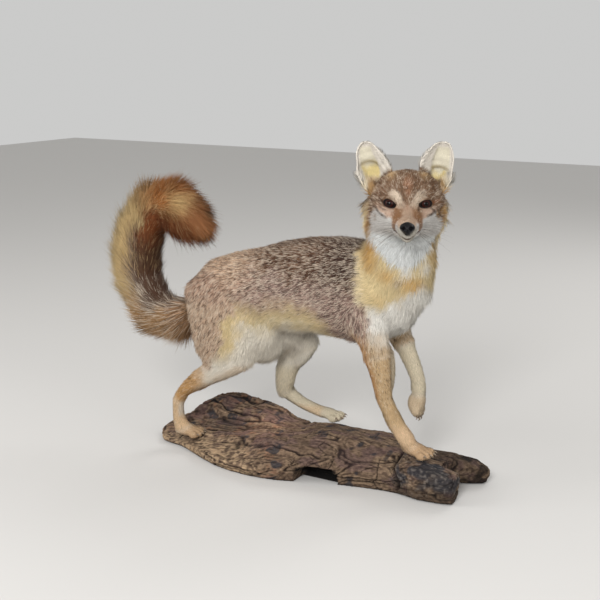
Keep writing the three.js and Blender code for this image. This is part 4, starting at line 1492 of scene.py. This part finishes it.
# ---------- eyes, nose, claws and whiskers ----------
def eyeball(side):
    """A glass eye: a dark pupil and a red-brown iris under a slightly raised clear front."""
    name = "eye_left" if side > 0 else "eye_right"
    centre, _, _, gaze = eye_axes(side)
    turn = Vector(gaze @ HEAD_AXES).to_track_quat("Z", "Y").to_euler()
    ball = sphere("glass_" + name, 48, 40, EYE["radius"] * MM, from_head(centre), turn)
    bpy.ops.object.shade_smooth()
    placed = to_head(points_of(ball))
    offset = placed - centre
    wide, high, _ = from_eye(placed, side)
    away = np.degrees(np.arccos(np.clip(unit(offset) @ gaze, -1, 1)))
    front = step(34, 12, away)
    set_points(ball, from_head(centre + offset * (1 + 0.05 * front)[:, None]))
    rays = 1 + 0.15 * np.sin(np.arctan2(high, wide) * 23)
    iris = step(46, 38, away) * step(15, 20, away)
    bright = iris * step(40, 32, away) * step(18, 26, away) * 0.45
    colour = np.tile(linear("0b0706"), (len(offset), 1))
    colour = mix(colour, linear("1d0c0a"), iris)
    colour = mix(colour, linear("3c1912") * rays[:, None], bright)
    colour = mix(colour, linear("120a08"), step(40, 50, away))
    paint(ball.data, colour)
    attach(ball, "root")
    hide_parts(name)
    return ball


NOSE = {"at": (63.5, 0, -23), "sizes": (7.6, 10.2, 8.8)}


def nose_pad():
    """The bare nose: broad above, narrow below, with comma nostrils and a cleft down its middle."""
    nose = sphere("nose_pad", 96, 72)
    sx, sy, sz = points_of(nose).T
    wide = 0.50 + 0.50 * step(-0.95, 0.25, sz) - 0.12 * step(0.5, 1.0, sz)
    box = 1 + 0.10 * (sy**2) * (sz**2)
    x = sx * NOSE["sizes"][0] * box * (1 - 0.10 * step(0.2, 1, sz))
    x = x + 0.9 * step(-0.2, 0.8, sx) * step(0.9, 0, np.abs(sz))
    y = sy * NOSE["sizes"][1] * wide * box
    z = sz * NOSE["sizes"][2]
    front = step(-0.1, 0.4, sx)
    side = np.abs(y)
    # nostrils: a round pit that runs out and down into a slit
    pit = np.exp(-(((side - 4.6) / 2.0) ** 2) - ((z - 1.2) / 1.9) ** 2)
    arc = np.hypot((side - 4.4) / 1.0, (z + 0.3) / 0.95)
    slit = np.exp(-(((arc - 3.6) / 0.75) ** 2)) * step(4.6, 6.4, side) * step(3.5, 1.0, z)
    cleft = np.exp(-((y / 0.7) ** 2)) * step(2.5, -1.5, z)
    rim = np.exp(-(((np.hypot(side - 4.6, z - 1.2) - 3.3) / 1.1) ** 2)) * step(8, 5, side)
    x += front * (-5.2 * pit - 2.6 * slit - 1.3 * cleft + 0.7 * rim)
    places = np.stack([x, y, z], 1) + np.array(NOSE["at"])
    set_points(nose, from_head(places))
    bpy.ops.object.shade_smooth()
    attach(nose, "root")
    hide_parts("nose")
    return nose


WHISKER_RADIUS = 0.12 * MM
WHISKER_STOPS = 10  # places along each whisker


def whisker_starts():
    """Each whisker's root in the head's frame, its side, its length in mm and how low it points."""
    starts = []
    for side in (1, -1):
        for row, height in enumerate((-22.5, -25.5, -28.5, -31.0)):
            for k in range(4):
                place = (55 - 5.2 * k, side * (10 + 1.2 * k), height)
                starts.append((place, side, 30 + 5 * k + 2 * row, row))
        for k in range(3):
            starts.append(((6, side * (14 + 3 * k), 14), side, 20, -3))
            starts.append(((-8, side * (44 - k), -24 - 3 * k), side, 24, 1))
    return starts


def whiskers(tree):
    """Tapered whiskers from the lip pads, with a few over the eyes and on the cheeks."""
    rng = np.random.default_rng(SEED + 900)
    curve = new_curve("whiskers", WHISKER_RADIUS)
    for place, side, long, low in whisker_starts():
        hit, normal, _, _ = tree.find_nearest(Vector(from_head(np.array(place) + rng.normal(0, 0.7, 3))))
        way = np.array([-0.15 - 0.1 * rng.random(), side, 0.25 - 0.22 * low + rng.normal(0, 0.12)])
        way = unit(way) @ HEAD_AXES
        way = unit(way + 0.5 * np.array(normal))
        long = long * rng.uniform(0.75, 1.15) * MM
        root = np.array(hit) - np.array(normal) * 0.6 * MM
        places, radii = [], []
        for i in range(WHISKER_STOPS):
            t = i / (WHISKER_STOPS - 1)
            back = HEAD_AXES[0] * -0.22 * t * t * long
            drop = np.array([0, 0, -0.28 * t * t * long])
            places.append(root + way * t * long + back + drop)
            radii.append(1 - 0.85 * t)
        add_strand(curve, places, radii)
    hairs = meshed("whiskers", curve)
    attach(hairs, "root")
    return hairs


CLAW = {"long": 5.8, "thick": 1.25, "sink": 3.2}


def claws():
    """One curved claw, copied to the end of every toe."""
    bpy.ops.object.select_all(action="DESELECT")
    bpy.ops.mesh.primitive_cylinder_add(vertices=10, radius=1, depth=1)
    pattern = named(bpy.context.object, "claw")
    edit(pattern, bpy.ops.mesh.subdivide, number_cuts=5)
    x, y, z = points_of(pattern).T
    run = z + 0.5
    thick = CLAW["thick"] * (1 - run) ** 0.7 + 0.12
    up = x * thick * 1.15 + 1.6 * np.sin(run * 2.6) - 2.4 * run**2
    shape = np.stack([run * CLAW["long"], y * thick * 0.8, up], 1)
    made = []
    for paw, (_, _, length, wide, high, _) in PAWS.items():
        at, ahead, left, above = paw_axes(paw)
        for k in TOES:
            out = length * (0.52 - 0.07 * abs(k) ** 1.6 + 0.27)
            toe = np.array([out, k * wide * TOE_SPREAD, -high * 0.28 + 1.5])
            toe[0] -= CLAW["sink"]
            spread = math.radians(6 * k)
            spun = shape.copy()
            spun[:, 0] = shape[:, 0] * math.cos(spread) - shape[:, 1] * math.sin(spread)
            spun[:, 1] = shape[:, 0] * math.sin(spread) + shape[:, 1] * math.cos(spread)
            claw = new_piece("claw_copy", pattern.data.copy())
            set_points(claw, (at + (spun + toe) @ np.array([ahead, left, above])) * MM)
            made.append(claw)
    bpy.data.objects.remove(pattern)
    piece = joined("claws", *made)
    edit(piece, bpy.ops.mesh.normals_make_consistent, inside=False)
    bpy.ops.object.shade_smooth()
    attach(piece, "root")
    return piece


# ---------- driftwood ----------
WOOD = dict(
    hollow_shade="120f0e", dark="1b1614", brown="4e3d33", mid="735f4e", tan="9c846b", pale="b49a7b", rust="8a5d45",
    plum="5f4a4a", char="343438", grey="77706a",
)
WOOD_GRID = 1.65 * MM  # cell size of the carved wood


def stretched(points, along, size, seed):
    """Noise drawn out along the wood."""
    return noise(points / MM / np.array([along, 1.0, 1.0]), size, seed)


def plates(along, across, seed):
    """Broken plates of wood: how near each place is to a crack between two, and its own plate's value."""
    place = np.stack([along, across], 1)
    cell = np.floor(place)
    best = np.full((2, len(place)), 9.0)
    value = np.zeros(len(place))
    for i in (-1, 0, 1):
        for j in (-1, 0, 1):
            here = cell + (i, j)
            flat = np.concatenate([here, np.full((len(here), 1), 0.5)], 1) * 7.31 + seed
            jitter = np.stack([noise(flat, 1.0, seed), noise(flat + 31.7, 1.0, seed + 1)], 1)
            gap = np.linalg.norm(here + 0.5 + jitter * 0.55 - place, axis=1)
            nearer = gap < best[0]
            best[1] = np.where(nearer, best[0], np.minimum(best[1], gap))
            best[0] = np.where(nearer, gap, best[0])
            value = np.where(nearer, noise(flat + 63.1, 1.0, seed + 2), value)
    return best[1] - best[0], value


def driftwood():
    """The driftwood with its layers, fibres, plates, cracks and charred patches, and its painted light and
    shade.
    """
    wood = copy_of(["driftwood"], "driftwood_carved")
    remesh(wood, WOOD_GRID)
    points, normals, edges = points_of(wood), normals_of(wood), edges_of(wood)
    places = points / MM
    x, y, z = places.T
    # its regions: the end-grain block, the lobe beside it, the left end and the pale lip below
    block = step(146, 156, x) * step(2, -2, y - 4)
    lobe = step(158, 172, x) * step(14, 20, y)
    left = step(-30, -80, x + y * 0.5)
    lip = step(36, 16, z) * step(0, -30, y) * step(-20, -70, x)
    warp = noise(points, 45 * MM, 21) * 14 + noise(points, 16 * MM, 22) * 4
    # the wood's layers run along it, and bend a little towards the back at the left
    across = y - z * 0.7 + warp * 0.6 + 0.10 * x
    flow = np.stack([x + warp, across, z * 0.5], 1) * MM
    broad = stretched(flow, 5.0, 11, 31)
    layer = stretched(flow, 4.0, 5.5, 32)
    fibre = stretched(flow, 8.0, 1.8, 33)
    fleck = stretched(flow, 3.0, 3.2, 34)
    crumb = noise(points, 3.2 * MM, 42)
    steps = broad * 2.1 + layer * 0.7
    terrace = np.floor(steps) + step(0.25, 0.75, steps - np.floor(steps))
    split = np.exp(-((stretched(flow, 7.0, 13, 35) / 0.07) ** 2))
    gap, plate = plates((x + warp * 0.5) / 30, across / 11, 61)
    seen = step(-0.1, 0.25, noise(points, 38 * MM, 37)) * (1 - left)
    crack = step(0.07, 0.015, gap) * seen
    char = step(0.0, 0.14, noise(points, 12 * MM, 38) * 0.5 + 0.5 * stretched(flow, 2.0, 9, 39) - 0.29)
    # a dark patch under the near thigh: painted shade there, broken up like the char
    thigh_shade_patch = spot(places, (-175, 8, 44), (60, 34, 30)) * step(-0.5, 0.0, crumb + fleck)
    char = np.maximum(char * (1 - lip), thigh_shade_patch)
    carving = (0.3 + left) * terrace + 0.35 * layer + 0.5 * fibre * (1 + 0.6 * left)
    carving = carving + 0.3 * fleck + 0.3 * crumb
    carving += 0.9 * plate * seen - 1.6 * crack - 2.8 * split
    carving = carving * (1 - 0.55 * np.maximum(block, lobe)) * (1 - 0.45 * lip) - 0.7 * char
    # the end-grain block and the crack beside it
    seam = np.exp(-(((x - 150 - 5 * np.sin(z / 9) + 0.08 * y) / 1.9) ** 2)) * step(14, -8, y) * step(4, 12, z)
    carving -= 7.0 * seam
    carving += block * (noise(points, 9 * MM, 41) + 0.6 * crumb)
    # the carving leaves the feet's hollows and the flat underside alone, and cuts deeper than it raises
    feet = np.ones(len(points))
    for name in ("paw_hind_right", "paw_hind_left", "paw_fore_right"):
        at, ahead, _, _ = paw_axes(name)
        reach = np.hypot(x - at[0] - 8 * ahead[0], y - at[1])
        feet = np.minimum(feet, step(20, 34, reach))
    ground = step(1.0, 6.0, z) * step(-0.9, -0.5, normals[:, 2])
    amount = carving - 1.2
    amount = np.where(amount > 0, amount * 0.8, amount) * feet * ground
    set_points(wood, points + normals * (amount * MM)[:, None])
    # colour: painted light on the ridges and painted shade in the furrows, by how far each place stands above
    # its neighbours
    high = carving - smoothed(carving, edges, 16)
    tone = step(-1.9, 1.5, high + 0.4 * fibre + 0.3 * crumb)
    tone = tone + (0.62 - tone) * 0.4 * (1 - left)
    ridge = step(-0.3, 0.5, noise(points, 26 * MM, 51) + 0.15)
    face = block * step(0.0, 0.45, noise(points, 15 * MM, 52) + 0.35) * step(12, 24, z)
    end = lobe * step(204, 220, x)
    burnt_end = end * step(0.0, 0.5, noise(points, 14 * MM, 53) + 0.35)
    ink = {name: linear(value) for name, value in WOOD.items()}
    # the painted shade of the front hollow is the darkest ink
    ink["hollow_shade"] = ink["hollow_shade"] * 0.7
    colour = mix(ink["dark"], ink["brown"], step(0.0, 0.4, tone))
    for name, share in (
        ("mid", step(0.35, 0.7, tone)),
        ("tan", step(0.55, 1.0, tone) * (0.3 + 0.7 * ridge) * (1 - 0.5 * left)),
        ("rust", left * step(0.1, 0.5, fleck) * step(0.4, 0.8, tone) * 0.5),
        ("plum", step(0.05, 0.4, noise(points, 17 * MM, 55) + 0.4 * fibre) * 0.55 * (1 - lip)),
        ("pale", lip * step(-0.5, 0.3, crumb + fleck) * 0.75),
        # char, with the painted shade under the thigh
        ("char", char * step(-0.7, 0.0, crumb) * 0.85),
        ("tan", (block + lobe).clip(0, 1) * step(0.0, 0.5, crumb + fleck) * 0.35),
        ("char", face * 0.9),
        ("grey", block * step(0.25, 0.6, crumb) * 0.45),
        ("mid", block * step(16, 8, z) * 0.5),
        ("dark", burnt_end * 0.75),
        ("brown", lobe * (1 - end) * 0.4),
        # painted shade in the seam, the splits and the cracks
        ("dark", np.clip(seam + split * 0.8 + crack * 0.85, 0, 1) * 0.9),
        # painted shade in the hollow under the front of the wood
        ("hollow_shade", step(2, 12, x) * step(72, 60, x) * step(26, 20, z) * step(-30, -40, y)),
        # painted shade along the foot, where the wood meets the floor
        ("dark", step(5, 0.5, z) * 0.7),
    ):
        colour = mix(colour, ink[name], share)
    # lighter in the middle, then darker at the lobe, the block's lower edge and the front
    colour = mix(colour, colour * 1.78 + ink["rust"] * 0.14, spot(places, (-90, 15, 45), (88, 72, 60)))
    front = (step(-30, 10, x) + step(-135, -165, x)).clip(0, 1)
    for share, level in ((lobe, 0.62), (block * step(26, 14, z), 0.46), (front, 0.92)):
        colour = mix(colour, colour * level, share)
    colour *= (1 + 0.2 * fibre + 0.16 * crumb + 0.12 * plate).clip(0.45, 1.6)[:, None]
    paint(wood.data, colour)
    alone(wood)
    bpy.ops.object.shade_smooth()
    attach(wood, "root")
    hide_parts("driftwood")
    return wood


# ---------- making it all ----------
COAT_PIECES = {
    "coat_head": ["head", "lower_jaw"],
    "coat_neck": ["neck"],
    "coat_trunk": ["trunk"],
    "coat_hind_leg_right": ["thigh_right", "shin_right", "hock_right", "paw_hind_right"],
    "coat_hind_leg_left": ["thigh_left", "shin_left", "hock_left", "paw_hind_left"],
    "coat_fore_leg_right": ["upper_arm_right", "forearm_right", "paw_fore_right"],
    "coat_fore_leg_left": ["upper_arm_left", "forearm_left", "paw_fore_left"],
    "coat_ears": EAR_NODES,
    "coat_tail_lower": ["tail_root"],
    "coat_tail_upper": ["tail_middle"],
    "coat_tail_end": ["tail_tip"],
}
HALVED = ("coat_head", "coat_trunk", "coat_neck")  # pieces of coat that are made in two halves


def dress(piece, material):
    piece.data.materials.clear()
    piece.data.materials.append(material)


def coat(hide):
    """Every piece of the coat, grown on the hide."""
    fur_finish, _ = painted("fox_hair", 0.72, 0.25, 1500, 0.12)
    owner = hide.shares[hide.triangles].mean(1).argmax(1)
    for seed, (name, nodes) in enumerate(COAT_PIECES.items()):
        chosen = np.isin(owner, [FLESH_NODES.index(n) for n in nodes])
        sides = {name: chosen}
        if name in HALVED:
            across = to_head(hide.middles)[:, 1] if name == "coat_head" else hide.middles[:, 1]
            sides = {name + "_left": chosen & (across > 0), name + "_right": chosen & (across <= 0)}
        for label, mask in sides.items():
            kind = LONG_LOCK if "tail" in name else SHORT_LOCK
            piece = grow(hide, label, mask, seed * 7 + len(label), kind)
            dress(piece, fur_finish)
            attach(piece, "root")


def main():
    camera_and_lights()
    skin = make_skin()
    hide = Hide(skin)
    skin_finish, _ = painted("fox_hide", 0.85, 0.2, 900, 0.12, bump=(0.3, 0.0006))
    dress(skin, skin_finish)
    # the skin under the coat is painted darker, as the shade deep in the fur
    paint(skin.data, hide.markings.colour * 0.8)
    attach(skin, "root")
    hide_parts(*FLESH_NODES)
    coat(hide)
    glass = glass_finish()
    for side in (1, -1):
        dress(eyeball(side), glass)
    dress(nose_pad(), nose_finish())
    dress(whiskers(tree_of(skin)), plain_finish("whisker_hair", "3c302a", 0.5, 0.4, 300, 0.4))
    dress(claws(), plain_finish("claw_horn", "7a6a58", 0.4, 0.5, 700, 0.5))
    dress(driftwood(), wood_finish())


main()
